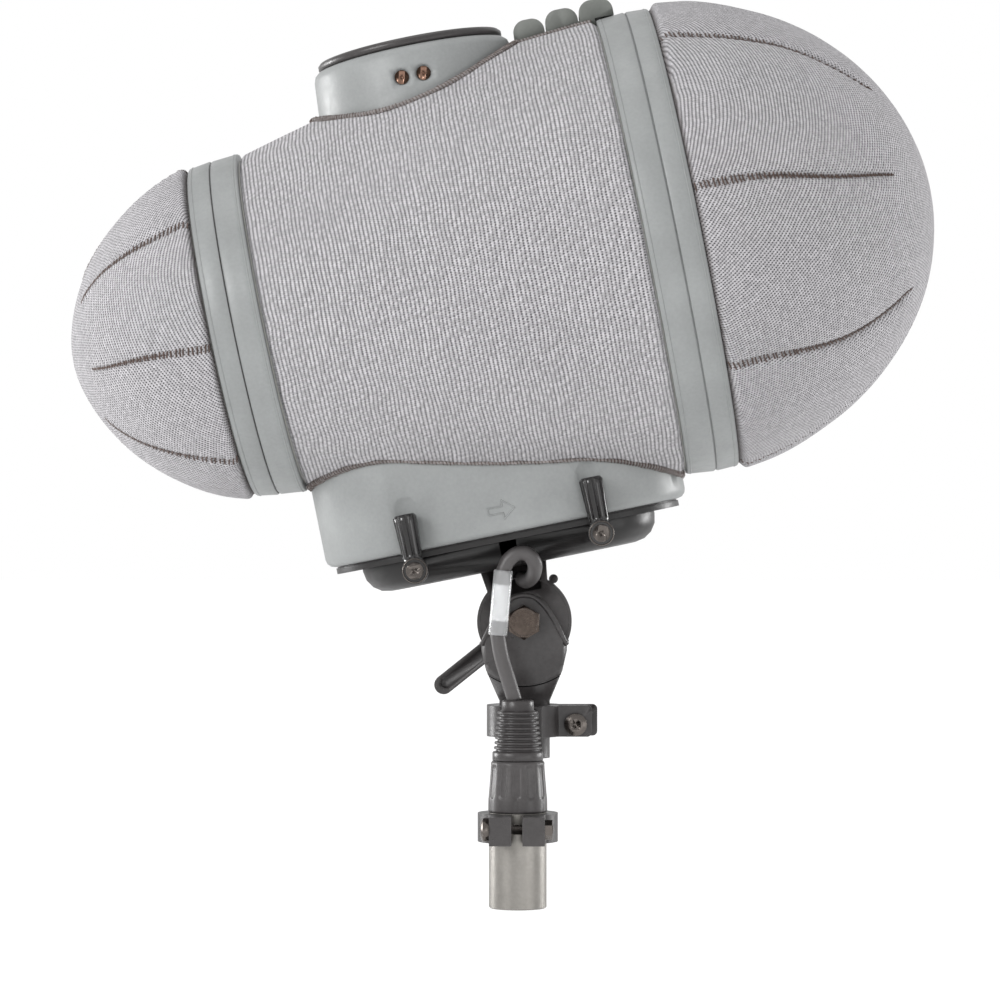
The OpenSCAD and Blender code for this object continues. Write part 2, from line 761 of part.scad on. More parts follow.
module grip_lugs() color(lug_colour) {
    half_w = 7;
    difference() {
        union() {
            lug_plate(half_w) lug(34.9, 45.3, 81.4);
            lug_plate(half_w) lug(45.9, 56.8, 82.6);
            lug_plate(half_w) lug(57.4, 68.8, 83.5);
            lug_plate(half_w - 0.4)
                polygon([[36, 70], [36, 75.2], [57, 77.4], [67.6, 78.9], [67.6, 70]]);
        }
        along_basket() rotate_extrude() polygon(concat([[0, 30]],
            [for (s = [30, 46, 62.3]) [body_r(s) - fabric_t - 0.1, s]], [[0, 62.3]]));
        along_basket() translate([0, 0, 62.3]) cylinder(h = 20, r = front_ring_r + 0.2);
        head() translate([0, 0, 150]) cylinder(h = 60, r = port_r + 1.9);
    }
}

// The room inside the frame's two ends for the spigots of the body rings
module spigot_space() {
    reach = 6;
    along_basket() {
        translate([0, 0, front_split - ring_l - reach]) cylinder(h = reach + 1, r = front_bore_r);
        translate([0, 0, -rear_split + ring_l - 1]) cylinder(h = reach + 1, r = rear_bore_r);
    }
}

// A cage of hoops and ribs that holds the cover in shape
module body_frame() color(frame_colour) {
    depth = fabric_t + part_gap;
    hoop_half = 1.5;
    difference() {
        along_basket() {
            for (s = [-40, -13.5, 13.5, 40]) rotate_extrude()
                body_wall(depth, rib_t, s - hoop_half, s + hoop_half);
            rotate_extrude() body_wall(depth, rib_t, fabric_half - 4, fabric_half + 0.4);
            rotate_extrude() body_wall(depth, rib_t, -fabric_half - 0.4, -fabric_half + 4);
            for (i = [0 : 9]) rotate([0, 0, 18 + 36 * i]) rotate([90, 0, 0])
                linear_extrude(rib_w, center = true)
                    body_wall(depth, rib_t, -fabric_half + 1, fabric_half - 1);
        }
        basket_openings(0.5);
        lug_slot(0.2);
        spigot_space();
    }
}

module body_fabric() color(knit_colour) {
    difference() {
        along_basket() rotate_extrude() body_wall(0, fabric_t, -fabric_half, fabric_half);
        basket_openings(part_gap);
        lug_slot(part_gap);
    }
}

// A body ring with the spigot that reaches under the frame and out into the cap
module body_ring(r, bore_r, split, side, slope) {
    root = split - ring_l;
    span = ring_l + (side > 0 ? 0.5 : 0);
    color(shell_colour) along_basket() rotate_extrude() scale([1, side])
        polygon([[bore_r - spigot_t - 0.1, root - 5.5], [bore_r - 0.1, root - 5.5],
            [bore_r - 0.1, split - span], [r - slope, split - span], [r - slope + 0.3, split - span + 0.5],
            [r + 0.1, split - 0.5], [r - 0.2, split], [bore_r - 0.1, split],
            [bore_r - 0.1, split + 7], [bore_r - spigot_t - 0.1, split + 7]]);
}

module front_body_ring() body_ring(front_ring_r, front_bore_r, front_split, 1, 1);

module rear_body_ring() body_ring(rear_ring_r, rear_bore_r, rear_split, -1, -0.5);

module seal_ring(r, bore_r, split, side) {
    color(rubber_colour) along_basket() rotate_extrude() scale([1, side])
        ring_2d(bore_r - 0.04, r - 0.5, split + 0.02, split + seal_t - 0.02);
}

module front_seal() seal_ring(front_ring_r, front_bore_r, front_split, 1);

module rear_seal() seal_ring(rear_ring_r, rear_bore_r, rear_split, -1);

module cap_ring(r, bore_r, split, side, slope) {
    start = split + seal_t;
    color(shell_colour) along_basket() rotate_extrude() scale([1, side])
        polygon([[bore_r, start], [r - 0.2, start], [r + 0.1, start + 0.5],
            [r - slope, split + ring_l - 1.6], [r - slope - 0.5, split + ring_l - 1.1],
            [bore_r, split + ring_l - 1.1]]);
}

module front_cap_ring() cap_ring(front_ring_r, front_bore_r, front_split, 1, 0.2);

module rear_cap_ring() cap_ring(rear_ring_r, rear_bore_r, rear_split, -1, 0.9);

module cap_frame(r, l, power, split, side) {
    depth = fabric_t + 3 * part_gap;
    base = split + ring_l - 0.9;
    ribs = 8;
    tip = l - depth - rib_t;
    color(frame_colour) along_basket() scale([1, 1, side]) {
        for (i = [0 : ribs - 1]) rotate([0, 0, 360 * (i + 0.5) / ribs]) rotate([90, 0, 0])
            linear_extrude(rib_w, center = true)
                dome_wall(r, l, power, base, 1, depth, rib_t, 84);
        rotate_extrude() ring_2d(r - depth - rib_t, r - depth - 0.2, base, base + 3);
        translate([0, 0, base + tip - 3]) cylinder(h = 3, r = r * 0.22);
    }
}

module front_cap_frame() cap_frame(front_dome_r, front_dome_l, front_power, front_split, 1);

module rear_cap_frame() cap_frame(rear_dome_r, rear_dome_l, rear_power, rear_split, -1);

module cap_fabric(r, l, power, split, side) {
    color(knit_colour) along_basket() rotate_extrude()
        dome_wall(r, l, power, side * (split + ring_l - 0.9), side, 0, fabric_t);
}

module front_cap_fabric() cap_fabric(front_dome_r, front_dome_l, front_power, front_split, 1);

module rear_cap_fabric() cap_fabric(rear_dome_r, rear_dome_l, rear_power, rear_split, -1);

// ---------- drawing ----------

swivel_yoke();
thread_insert();
pivot_bolt();
pivot_washer();
stem_clamp();
connector_clamp();
clamp_rivets();
clamp_screws();
clamp_nuts();
connector_boot();
connector_back_shell();
connector_shell();
connector_insert();
connector_pins();
output_cable();
cable_sleeve();
cable_label();
lock_lever();
lever_nut();
swivel_knuckle();
knuckle_screws();
base_tray();
base_plate();
base_gasket();
latch_screws();
latch_washers();
suspension_rail();
rail_screws();
lyre_front();
lyre_rear();
connection_box();
box_lid();
box_sockets();
latch_front_right();
latch_rear_right();
latch_front_left();
latch_rear_left();
mic_bar();
mid_clip_front();
mid_clip_rear();
side_clip_front();
side_clip_rear();
bottom_housing();
top_port_housing();
port_screws();
grip_lugs();
body_frame();
body_fabric();
front_body_ring();
rear_body_ring();
port_lid();
front_seal();
front_cap_ring();
front_cap_frame();
front_cap_fabric();
rear_seal();
rear_cap_ring();
rear_cap_frame();
rear_cap_fabric();
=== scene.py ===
import json
import math

import bmesh
import bpy
import numpy as np
from mathutils import Matrix, Vector
from mathutils.bvhtree import BVHTree


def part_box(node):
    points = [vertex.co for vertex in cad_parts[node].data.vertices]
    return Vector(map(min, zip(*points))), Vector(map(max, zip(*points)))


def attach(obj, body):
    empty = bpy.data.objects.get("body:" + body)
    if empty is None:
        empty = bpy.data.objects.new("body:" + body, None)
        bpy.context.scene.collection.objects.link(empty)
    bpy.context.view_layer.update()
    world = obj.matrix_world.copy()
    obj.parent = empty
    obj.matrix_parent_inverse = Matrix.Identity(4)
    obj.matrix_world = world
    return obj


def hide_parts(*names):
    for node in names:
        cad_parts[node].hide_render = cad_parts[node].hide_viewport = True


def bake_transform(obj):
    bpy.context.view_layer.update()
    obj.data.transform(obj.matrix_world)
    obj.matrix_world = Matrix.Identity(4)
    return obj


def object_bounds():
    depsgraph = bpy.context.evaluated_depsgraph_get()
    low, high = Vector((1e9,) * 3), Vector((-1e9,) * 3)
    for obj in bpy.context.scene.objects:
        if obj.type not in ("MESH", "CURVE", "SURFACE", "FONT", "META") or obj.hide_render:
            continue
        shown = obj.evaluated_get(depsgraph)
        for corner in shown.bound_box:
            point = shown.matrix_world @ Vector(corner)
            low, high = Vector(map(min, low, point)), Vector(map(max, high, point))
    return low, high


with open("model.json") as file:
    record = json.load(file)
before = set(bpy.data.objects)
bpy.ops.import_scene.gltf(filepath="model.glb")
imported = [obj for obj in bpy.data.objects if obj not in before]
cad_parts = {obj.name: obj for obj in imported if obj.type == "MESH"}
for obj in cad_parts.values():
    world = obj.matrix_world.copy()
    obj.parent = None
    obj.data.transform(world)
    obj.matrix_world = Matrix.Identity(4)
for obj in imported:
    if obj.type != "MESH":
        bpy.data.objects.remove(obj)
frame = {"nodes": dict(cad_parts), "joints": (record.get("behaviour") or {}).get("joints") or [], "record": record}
cad_low, cad_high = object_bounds()
joints = {j["name"]: j for j in frame["joints"]}
rng = np.random.default_rng(7)

# ---------- the head's own frame, in mm: s forwards, y to the left, h up from the tilt pivot ----------

MM = 0.001
WELD = 2e-6  # metres within which two vertices of a CAD mesh are one
SHARP = math.radians(32)  # edges sharper than this stay crisp
ROUND = 192  # sides of a turned piece
SKEW = (0.31, 0.87, 0.39)  # a direction that no modelled path runs along
PIVOT = Vector(joints["head_tilt"]["pos_m"])
FWD = Vector(joints["front_cap_pull"]["axis"]).normalized()
UP = Vector(joints["basket_lift"]["axis"]).normalized()
LEFT = UP.cross(FWD)
HEAD = Matrix.Identity(4)
for column, vector in enumerate((FWD, LEFT, UP)):
    for row in range(3):
        HEAD[row][column] = vector[row] * MM
for row in range(3):
    HEAD[row][3] = PIVOT[row]
HEAD_NP = np.array(HEAD)
TO_HEAD = np.array(HEAD.inverted())


def to_row(points):
    points = np.asarray(points, float).reshape(-1, 3)
    return points @ HEAD_NP[:3, :3].T + HEAD_NP[:3, 3]


def to_head(points):
    points = np.asarray(points, float).reshape(-1, 3)
    return points @ TO_HEAD[:3, :3].T + TO_HEAD[:3, 3]


def node_points(node):
    """A CAD node's vertices in the row frame, in metres."""
    mesh = frame["nodes"][node].data
    co = np.zeros(len(mesh.vertices) * 3, np.float32)
    mesh.vertices.foreach_get("co", co)
    return co.reshape(-1, 3).astype(float)


def head_box(node):
    points = to_head(node_points(node))
    return points.min(0), points.max(0)


AXIS_H = to_head(joints["front_cap_twist"]["pos_m"])[0][2]  # height of the basket's axis


def around(s, r, phi):
    """Head coordinates at a radius round the basket's axis; phi is 0 at the top and grows to the right."""
    s, r, phi = np.broadcast_arrays(s, r, phi)
    return np.stack([s, -r * np.sin(phi), AXIS_H + r * np.cos(phi)], axis=-1)


def outline(node):
    """The outer outline of a body of revolution round the basket's axis, as arrays (s, r)."""
    points = to_head(node_points(node))
    pairs = np.stack([points[:, 0], np.hypot(points[:, 1], points[:, 2] - AXIS_H)], 1)
    hull = []
    for p in np.unique(np.round(pairs, 3), axis=0):
        while len(hull) > 1:
            along, ahead = hull[-1] - hull[-2], p - hull[-2]
            if along[0] * ahead[1] < along[1] * ahead[0]:
                break
            hull.pop()
        hull.append(p)
    hull = np.array(hull)
    return hull[:, 0], hull[:, 1]


def smoothstep(a, b, x):
    t = np.clip((np.asarray(x, float) - a) / (b - a), 0, 1)
    return t * t * (3 - 2 * t)


# ---------- making pieces ----------


def linked(name, data):
    o = bpy.data.objects.new(name, data)
    bpy.context.scene.collection.objects.link(o)
    return o


def shade_smooth(mesh):
    mesh.polygons.foreach_set("use_smooth", [True] * len(mesh.polygons))


def new_object(name, verts, faces, row=False):
    """A smooth mesh object from vertices in head millimetres, or in the row frame's metres."""
    mesh = bpy.data.meshes.new(name)
    verts = np.asarray(verts, float) if row else to_row(verts)
    mesh.from_pydata(verts.tolist(), [], [list(f) for f in faces])
    shade_smooth(mesh)
    mesh.update()
    return linked(name, mesh)


def fix_normals(o):
    bm = bmesh.new()
    bm.from_mesh(o.data)
    bmesh.ops.recalc_face_normals(bm, faces=bm.faces)
    bm.to_mesh(o.data)
    bm.free()


def grid_faces(rows, cols, wrap=False):
    """Quads of a grid of vertices stored row by row; wrap joins the last column to the first."""
    faces = []
    for i in range(rows - 1):
        for j in range(cols if wrap else cols - 1):
            k = (j + 1) % cols
            faces.append((i * cols + j, i * cols + k, (i + 1) * cols + k, (i + 1) * cols + j))
    return faces


def unit(vectors):
    return vectors / (np.linalg.norm(vectors, axis=-1, keepdims=True) + 1e-12)


def circle(count):
    return np.linspace(0, 2 * np.pi, count, endpoint=False)


def across_path(tangent):
    """Two directions square to a path and to each other, at each of its points."""
    tangent = unit(tangent)
    a = unit(np.cross(tangent, SKEW))
    return a, np.cross(tangent, a)


def tube_arrays(path, radius, sides, closed):
    """Vertices and faces of a round tube along a path."""
    path = np.asarray(path, float)
    n = len(path)
    tangent = np.roll(path, -1, 0) - np.roll(path, 1, 0)
    if not closed:
        tangent[0], tangent[-1] = path[1] - path[0], path[-1] - path[-2]
    a, b = across_path(tangent)
    t = circle(sides)[None, :, None]
    verts = (path[:, None] + radius * (np.cos(t) * a[:, None] + np.sin(t) * b[:, None])).reshape(-1, 3)
    faces = grid_faces(n, sides, True)
    last = (n - 1) * sides
    if closed:
        faces += [(last + j, last + (j + 1) % sides, (j + 1) % sides, j) for j in range(sides)]
    else:
        faces += [tuple(range(sides))[::-1], tuple(last + j for j in range(sides))]
    return verts, faces


def join_arrays(parts):
    verts, faces, start = [], [], 0
    for v, f in parts:
        verts.append(v)
        faces += [tuple(start + i for i in face) for face in f]
        start += len(v)
    return np.concatenate(verts), faces


def tubes(name, paths, radius, sides, closed=False, row=False):
    """One object made of a round tube along each path."""
    o = new_object(name, *join_arrays([tube_arrays(p, radius, sides, closed) for p in paths]), row=row)
    fix_normals(o)
    return o


def lathe(name, profile):
    """Turns a profile of (s, r) points round the basket's axis."""
    s, r = np.asarray(profile, float).T[:, :, None]
    verts = around(s, r, circle(ROUND)).reshape(-1, 3)
    o = new_object(name, verts, grid_faces(len(profile), ROUND, True))
    fix_normals(o)
    return o


FLAT_FACED = {"stem_clamp", "connector_clamp", "lock_lever"}  # large flat faces that meet small fillets


def soften(node):
    """A welded, smooth-shaded copy of a CAD node's mesh; the node itself is left as it is."""
    mesh = frame["nodes"][node].data.copy()
    mesh.materials.clear()
    o = linked(node + "_look", mesh)
    bm = bmesh.new()
    bm.from_mesh(mesh)
    bmesh.ops.remove_doubles(bm, verts=bm.verts, dist=WELD)
    bm.to_mesh(mesh)
    bm.free()
    shade_smooth(mesh)
    mesh.set_sharp_from_angle(angle=SHARP)
    if node in FLAT_FACED:
        m = o.modifiers.new("flat_faces", "WEIGHTED_NORMAL")
        m.keep_sharp = True
    return o


def side_name(side):
    return "right" if side < 0 else "left"


def body_of_node(node):
    for body, nodes in frame["record"]["behaviour"]["bodies"].items():
        if node in nodes:
            return body
    raise ValueError(node)


SLOT_OF = {p["node"]: p["material_slot"] for p in frame["record"]["subparts"]}
COLOR_OF = {m["slot"]: m["base_color"] for m in frame["record"]["materials"]}

# ---------- materials ----------


class Graph:
    """A short way to write a material's node tree."""

    def __init__(self, name):
        self.material = bpy.data.materials.new(name)
        self.material.use_nodes = True
        self.tree = self.material.node_tree
        self.bsdf = self.tree.nodes["Principled BSDF"]
        self.position = self.add("ShaderNodeTexCoord").outputs["Object"]

    def add(self, kind, inputs=None, **settings):
        n = self.tree.nodes.new(kind)
        for key, value in settings.items():
            setattr(n, key, value)
        for key, value in (inputs or {}).items():
            self.put(n.inputs[key], value)
        return n

    def put(self, socket, value):
        if isinstance(value, bpy.types.NodeSocket):
            self.tree.links.new(value, socket)
        else:
            socket.default_value = value

    def math(self, operation, *values):
        n = self.add("ShaderNodeMath", operation=operation)
        for socket, value in zip(n.inputs, values):
            self.put(socket, value)
        return n.outputs[0]

    def total(self, *values):
        """Values added up."""
        result = values[0]
        for value in values[1:]:
            result = self.math("ADD", result, value)
        return result

    def times(self, a, b):
        return self.math("MULTIPLY", a, b)

    def vector(self, operation, **inputs):
        """A vector node: a and b are its vectors, scale its factor."""
        names = {"a": 0, "b": 1, "scale": "Scale"}
        n = self.add("ShaderNodeVectorMath", {names[k]: v for k, v in inputs.items()}, operation=operation)
        return n.outputs["Value" if operation in ("DOT_PRODUCT", "LENGTH") else "Vector"]

    def zigzag(self, value):
        """Falls from 1 to 0 and climbs back to 1 over each whole number."""
        return self.math("ABSOLUTE", self.math("SUBTRACT", self.times(self.math("FRACT", value), 2.0), 1.0))

    def cell_noise(self, x, y):
        """An even random value for each pair of whole numbers."""
        place = self.add("ShaderNodeCombineXYZ", {"X": x, "Y": y}).outputs[0]
        return self.add("ShaderNodeTexWhiteNoise", {"Vector": place}, noise_dimensions="2D").outputs["Value"]

    def noise(self, scale, detail=3):
        inputs = {"Vector": self.position, "Scale": scale, "Detail": detail, "Roughness": 0.55}
        return self.add("ShaderNodeTexNoise", inputs).outputs["Fac"]

    def ramp(self, value, low, high, to_low=0.0, to_high=1.0, smooth=False):
        n = self.add(
            "ShaderNodeMapRange",
            {"Value": value, "From Min": low, "From Max": high, "To Min": to_low, "To Max": to_high},
            interpolation_type="SMOOTHSTEP" if smooth else "LINEAR",
        )
        return n.outputs[0]

    def mix(self, factor, a, b):
        n = self.add("ShaderNodeMix", data_type="RGBA")
        self.put(n.inputs["Factor"], factor)
        for socket, value in ((n.inputs[6], a), (n.inputs[7], b)):
            self.put(socket, value if isinstance(value, bpy.types.NodeSocket) else (*value[:3], 1))
        return n.outputs[2]

    def bump(self, height, distance, strength=1.0, normal=None):
        inputs = {"Height": height, "Distance": distance, "Strength": strength}
        if normal is not None:
            inputs["Normal"] = normal
        return self.add("ShaderNodeBump", inputs).outputs[0]

    def finish(self, **inputs):
        for key, value in inputs.items():
            self.put(self.bsdf.inputs[key.replace("_", " ")], value)
        return self.material


def scaled(color, factor):
    return tuple(min(1.0, c * factor) for c in color[:3])


def hard_surface(name, color, rough=0.45, mottle=0.06, grain=0.00002, edge=0.25, round_mm=0.35, metal=0.0,
                 dust=0.0, coat=0.0, specular=0.5):
    """Moulded plastic, rubber or plated metal: mottled, finely grained, with rounded edges and a painted highlight
    along them.
    """
    g = Graph(name)
    tone = g.total(g.times(g.noise(55, 4), 0.65), g.times(g.noise(900, 3), 0.35))
    base = g.mix(g.ramp(tone, 0.3, 0.7), scaled(color, 1 - 2 * mottle), scaled(color, 1 + 2 * mottle))
    rounded = g.add("ShaderNodeBevel", {"Radius": round_mm * MM}, samples=4).outputs[0]
    facing = g.add("ShaderNodeNewGeometry").outputs["Normal"]
    same = g.vector("DOT_PRODUCT", a=rounded, b=facing)
    # painted highlight: a lighter colour where the rounded normal turns from the face, broken up by noise; edge
    # sets its strength
    edge_highlight = g.times(g.ramp(same, 0.985, 0.80), g.ramp(g.noise(420, 3), 0.38, 0.62))
    base = g.mix(g.times(edge_highlight, edge), base, scaled([c * 0.6 + 0.09 for c in color[:3]], 1.8))
    if dust:
        upward = g.add("ShaderNodeSeparateXYZ", {0: facing}).outputs["Z"]
        film = g.times(g.ramp(upward, 0.2, 1.0), g.ramp(g.noise(160, 5), 0.42, 0.70))
        base = g.mix(g.times(film, dust), base, (0.42, 0.40, 0.38))
    roughness = g.ramp(g.noise(260, 4), 0.3, 0.7, rough - 0.06, rough + 0.07)
    normal = g.bump(g.noise(2600, 2), grain, 1.0, rounded)
    return g.finish(
        Base_Color=base, Roughness=roughness, Metallic=metal, Normal=normal, Coat_Weight=coat,
        Coat_Roughness=0.12, Specular_IOR_Level=specular,
    )


def knit_surface(name, color, rib, stitch, uneven):
    """Rib knit in the piece's own millimetre coordinates: wales across u, stitches along v."""
    g = Graph(name)
    uv = g.add("ShaderNodeUVMap", uv_map="knit").outputs[0]

    def cloth_noise(scale, detail, rough=0.6):
        return g.add("ShaderNodeTexNoise", {"Vector": uv, "Scale": scale, "Detail": detail, "Roughness": rough})

    def wander(scale, detail, reach):
        """A smooth shift of the pattern, by up to about half the reach."""
        middle = g.vector("SUBTRACT", a=cloth_noise(scale, detail).outputs["Color"], b=(0.5, 0.5, 0.5))
        return g.vector("SCALE", a=middle, scale=reach)

    place = g.vector("ADD", a=g.vector("ADD", a=uv, b=wander(0.05, 1.0, 1.8)), b=wander(0.9, 2.0, 0.4))
    split = g.add("ShaderNodeSeparateXYZ", {0: place})
    u = g.math("DIVIDE", split.outputs["X"], rib)
    along = g.math("DIVIDE", split.outputs["Y"], stitch)
    # the wales: rounded ribs of V-shaped loops, each wale half a stitch on from the last
    column = g.math("FLOOR", u)
    fold = g.zigzag(u)
    legs = g.total(along, g.times(column, 0.5), g.times(fold, 0.4))
    groove, course = g.math("POWER", fold, 2.0), g.math("POWER", g.zigzag(legs), 2.0)
    # the holes between the wales, painted dark as shade
    edge = g.math("FLOOR", g.total(u, 0.5))
    gap = g.total(along, g.times(edge, 0.5))
    depth = g.cell_noise(edge, g.math("FLOOR", g.total(gap, 0.5)))
    hole = g.ramp(g.times(groove, g.math("POWER", g.zigzag(gap), 2.0)), 0.08, 0.42)
    hole = g.times(hole, g.ramp(depth, 0.0, 1.0, 1.0 - uneven, 1.0 + uneven))
    chance = g.math("SUBTRACT", g.cell_noise(column, g.math("FLOOR", legs)), 0.5)
    fibre = cloth_noise(3.2, 3.0, 0.7).outputs["Fac"]
    height = g.math("SUBTRACT", g.times(fibre, 0.35), g.total(g.times(groove, 0.5), hole))
    # painted shade: darker in the grooves between wales, between courses and in the holes, with random tone per
    # stitch and in the fibre
    shade = g.total(
        1.3, g.times(groove, -0.14), g.times(course, -0.12), g.times(hole, -1.0),
        g.times(chance, 0.3 + 0.35 * uneven), g.ramp(fibre, 0.3, 0.7, -0.1, 0.1),
        g.ramp(g.noise(38, 3), 0.35, 0.65, -0.02, 0.02),
    )  # fmt: skip
    cloth = g.vector("SCALE", a=tuple(color[:3]), scale=g.math("MAXIMUM", shade, 0.12))
    # painted shade and shadow: the cloth goes dark brown by the seam values, in the dart valleys and where it
    # tucks under the ring
    seam = g.add("ShaderNodeAttribute", attribute_name="seam").outputs["Fac"]
    return g.finish(
        Base_Color=g.mix(g.times(seam, 0.85), cloth, (0.06, 0.045, 0.04)), Roughness=0.9,
        Normal=g.bump(height, 0.0005, 0.9), Sheen_Weight=0.15, Sheen_Roughness=0.5, Specular_IOR_Level=0.2,
    )


def thread_surface(name, color):
    g = Graph(name)
    tone = g.noise(1500, 3)
    base = g.mix(g.ramp(tone, 0.3, 0.7), scaled(color, 0.6), scaled(color, 1.45))
    return g.finish(Base_Color=base, Roughness=0.75, Normal=g.bump(tone, 0.0001, 0.8), Sheen_Weight=0.2)


# the record's colours, with the few that read too light or too dark under this light brought into line; the
# knuckle and back shell get a lighter copy of the black, painted light that stands in for their highlights
SHELL = [c * k for c, k in zip(COLOR_OF["shell"], (0.84, 0.81, 0.83))]
BLACK, BLACK_LIT, DEEP = (scaled(COLOR_OF["black"], k) for k in (1.8, 2.6, 0.45))
SATIN, DULL_COPPER = scaled(COLOR_OF["steel"], 0.66), scaled(COLOR_OF["copper"], 0.55)

LOOKS = {
    "knit": knit_surface("knit", COLOR_OF["knit"], 1.18, 1.0, 0.2),
    "knit_body": knit_surface("knit_body", COLOR_OF["knit"], 1.3, 0.78, 0.55),
    "shell": hard_surface("shell", SHELL, rough=0.42, mottle=0.055, edge=0.18, round_mm=0.5, dust=0.04),
    "lug": hard_surface("lug", COLOR_OF["lug"], rough=0.6, mottle=0.05, edge=0.2, round_mm=0.8, dust=0.05),
    "black": hard_surface("black", BLACK, rough=0.32, mottle=0.16, edge=0.7, round_mm=0.5, dust=0.03),
    # painted light: a lighter copy of the black for the knuckle and back shell, standing in for their highlights
    "black_lit": hard_surface("black_lit", BLACK_LIT, rough=0.34, mottle=0.16, edge=0.6, round_mm=0.5),
    "tray_black": hard_surface("tray_black", DEEP, rough=0.36, mottle=0.1, edge=0.25, round_mm=0.5),
    # near-black and matte: painted shadow, for the groove of the yoke's parting line
    "gap": hard_surface("gap", (0.004, 0.004, 0.004), rough=0.8, edge=0.0, specular=0.1),
    "bolt": hard_surface("bolt", (0.11, 0.088, 0.075), rough=0.26, mottle=0.2, edge=0.6, metal=1, round_mm=0.3),
    "gloss_black": hard_surface("gloss_black", COLOR_OF["gloss_black"], 0.2, mottle=0.05, edge=0.15, coat=0.6),
    "rubber": hard_surface("rubber", COLOR_OF["rubber"], rough=0.34, mottle=0.12, edge=0.6, round_mm=0.3),
    "cable": hard_surface("cable", COLOR_OF["cable"], rough=0.42, edge=0.0, grain=0.00003),
    "steel": hard_surface("steel", COLOR_OF["steel"], rough=0.34, edge=0.3, metal=1, round_mm=0.2),
    "satin": hard_surface("satin", SATIN, rough=0.4, edge=0.2, metal=1, round_mm=0.3),
    "nickel": hard_surface("nickel", COLOR_OF["nickel"], 0.26, mottle=0.05, edge=0.4, metal=1, round_mm=0.2),
    "copper": hard_surface("copper", DULL_COPPER, rough=0.3, mottle=0.08, edge=0.3, metal=1, round_mm=0.15),
    "frame": hard_surface("frame", COLOR_OF["frame"], rough=0.5, mottle=0.05, edge=0.1),
    "label": hard_surface("label", COLOR_OF["label"], rough=0.55, mottle=0.02, edge=0.0),
    "sleeve": Graph("sleeve").finish(
        Base_Color=(0.9, 0.91, 0.92, 1), Roughness=0.15, Transmission_Weight=0.72, IOR=1.15,
        Coat_Weight=0.8, Coat_Roughness=0.1,
    ),
}
PALE_SEAL = hard_surface("pale_seal", SHELL, rough=0.5, edge=0.1)
THREAD_BROWN = thread_surface("thread_brown", (0.085, 0.055, 0.045))
THREAD_GREY = thread_surface("thread_grey", (0.26, 0.24, 0.235))


def dress(o, slot, body=None, replaces=(), look=None):
    """Gives a piece its material, from its slot unless a look is given, parents it to the body it rides on and
    hides the CAD nodes it stands for.
    """
    o.data.materials.clear()
    o.data.materials.append(look or LOOKS[slot])
    if body:
        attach(o, body)
    if replaces:
        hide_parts(*replaces)
    return o


def plain(node, look=None):
    """A softened copy of a CAD node in its own slot's finish, riding on the node's body."""
    return dress(soften(node), SLOT_OF[node], body_of_node(node), (node,), look=look)


# ---------- the knit cover of the basket ----------

body_s, body_r = outline("body_fabric")
COVER_LO, COVER_HI = body_s.min(), body_s.max()
BODY_FIT = np.polyfit(body_s, body_r, 2)
HOUSING_L, HOUSING_W = head_box("bottom_housing")[1][:2]
PORT_R = head_box("top_port_housing")[1][1]
LUG_S0, LUG_W = head_box("grip_lugs")[0][0], head_box("grip_lugs")[1][1]
STRAIGHT = HOUSING_L - HOUSING_W  # half the length of the housing's straight sides
EDGE_GAP = 0.5  # from the housing's outline to the cloth's edge
CLOTH = 1.3  # thickness of the cover


def cover_r(s):
    """Radius of the cover's surface, with the edges tucked under the two body rings."""
    s = np.asarray(s, float)
    tuck = smoothstep(COVER_HI - 1.6, COVER_HI, s) + smoothstep(-COVER_LO - 1.6, -COVER_LO, -s)
    return np.polyval(BODY_FIT, s) - CLOTH * tuck


def housing_side(s):
    """Half width of the cloth's cut-out over the housing, at a place along the basket."""
    over = np.clip(np.abs(s) - STRAIGHT, 0, None)
    return np.sqrt(np.clip((HOUSING_W + EDGE_GAP) ** 2 - over**2, 0, None))


def cover_low_phi(s):
    """The angle at which the cover ends, above the housing."""
    return np.pi - np.arcsin(np.clip(housing_side(s) / cover_r(s), 0, 1))


def cover_ripple(s, phi):
    """Small pulls in the cloth along its lower edge and round the port."""
    below = np.clip((cover_low_phi(s) - np.abs(phi)) * 70, 0, None)
    across, up = cover_r(s) * np.sin(phi), np.cos(phi)
    port = np.clip(np.hypot(s, across) - PORT_R, 0, None) + 1e3 * (up < 0)
    edge_pull = 0.22 * np.exp(-below / 5) * np.sin(s / 2.3 + np.sin(s / 7))
    return edge_pull + 0.25 * np.exp(-port / 6) * np.sin(9 * np.arctan2(across, s))


def knit_uv(o, uv):
    """Lays the knit's coordinates, in millimetres, on a cover: one pair for each vertex."""
    layer = o.data.uv_layers.new(name="knit")
    index = np.zeros(len(o.data.loops), np.int32)
    o.data.loops.foreach_get("vertex_index", index)
    layer.data.foreach_set("uv", uv[index].astype(np.float32).ravel())


def thicken(o, thickness):
    m = o.modifiers.new("cloth", "SOLIDIFY")
    m.thickness, m.offset = thickness * MM, -1


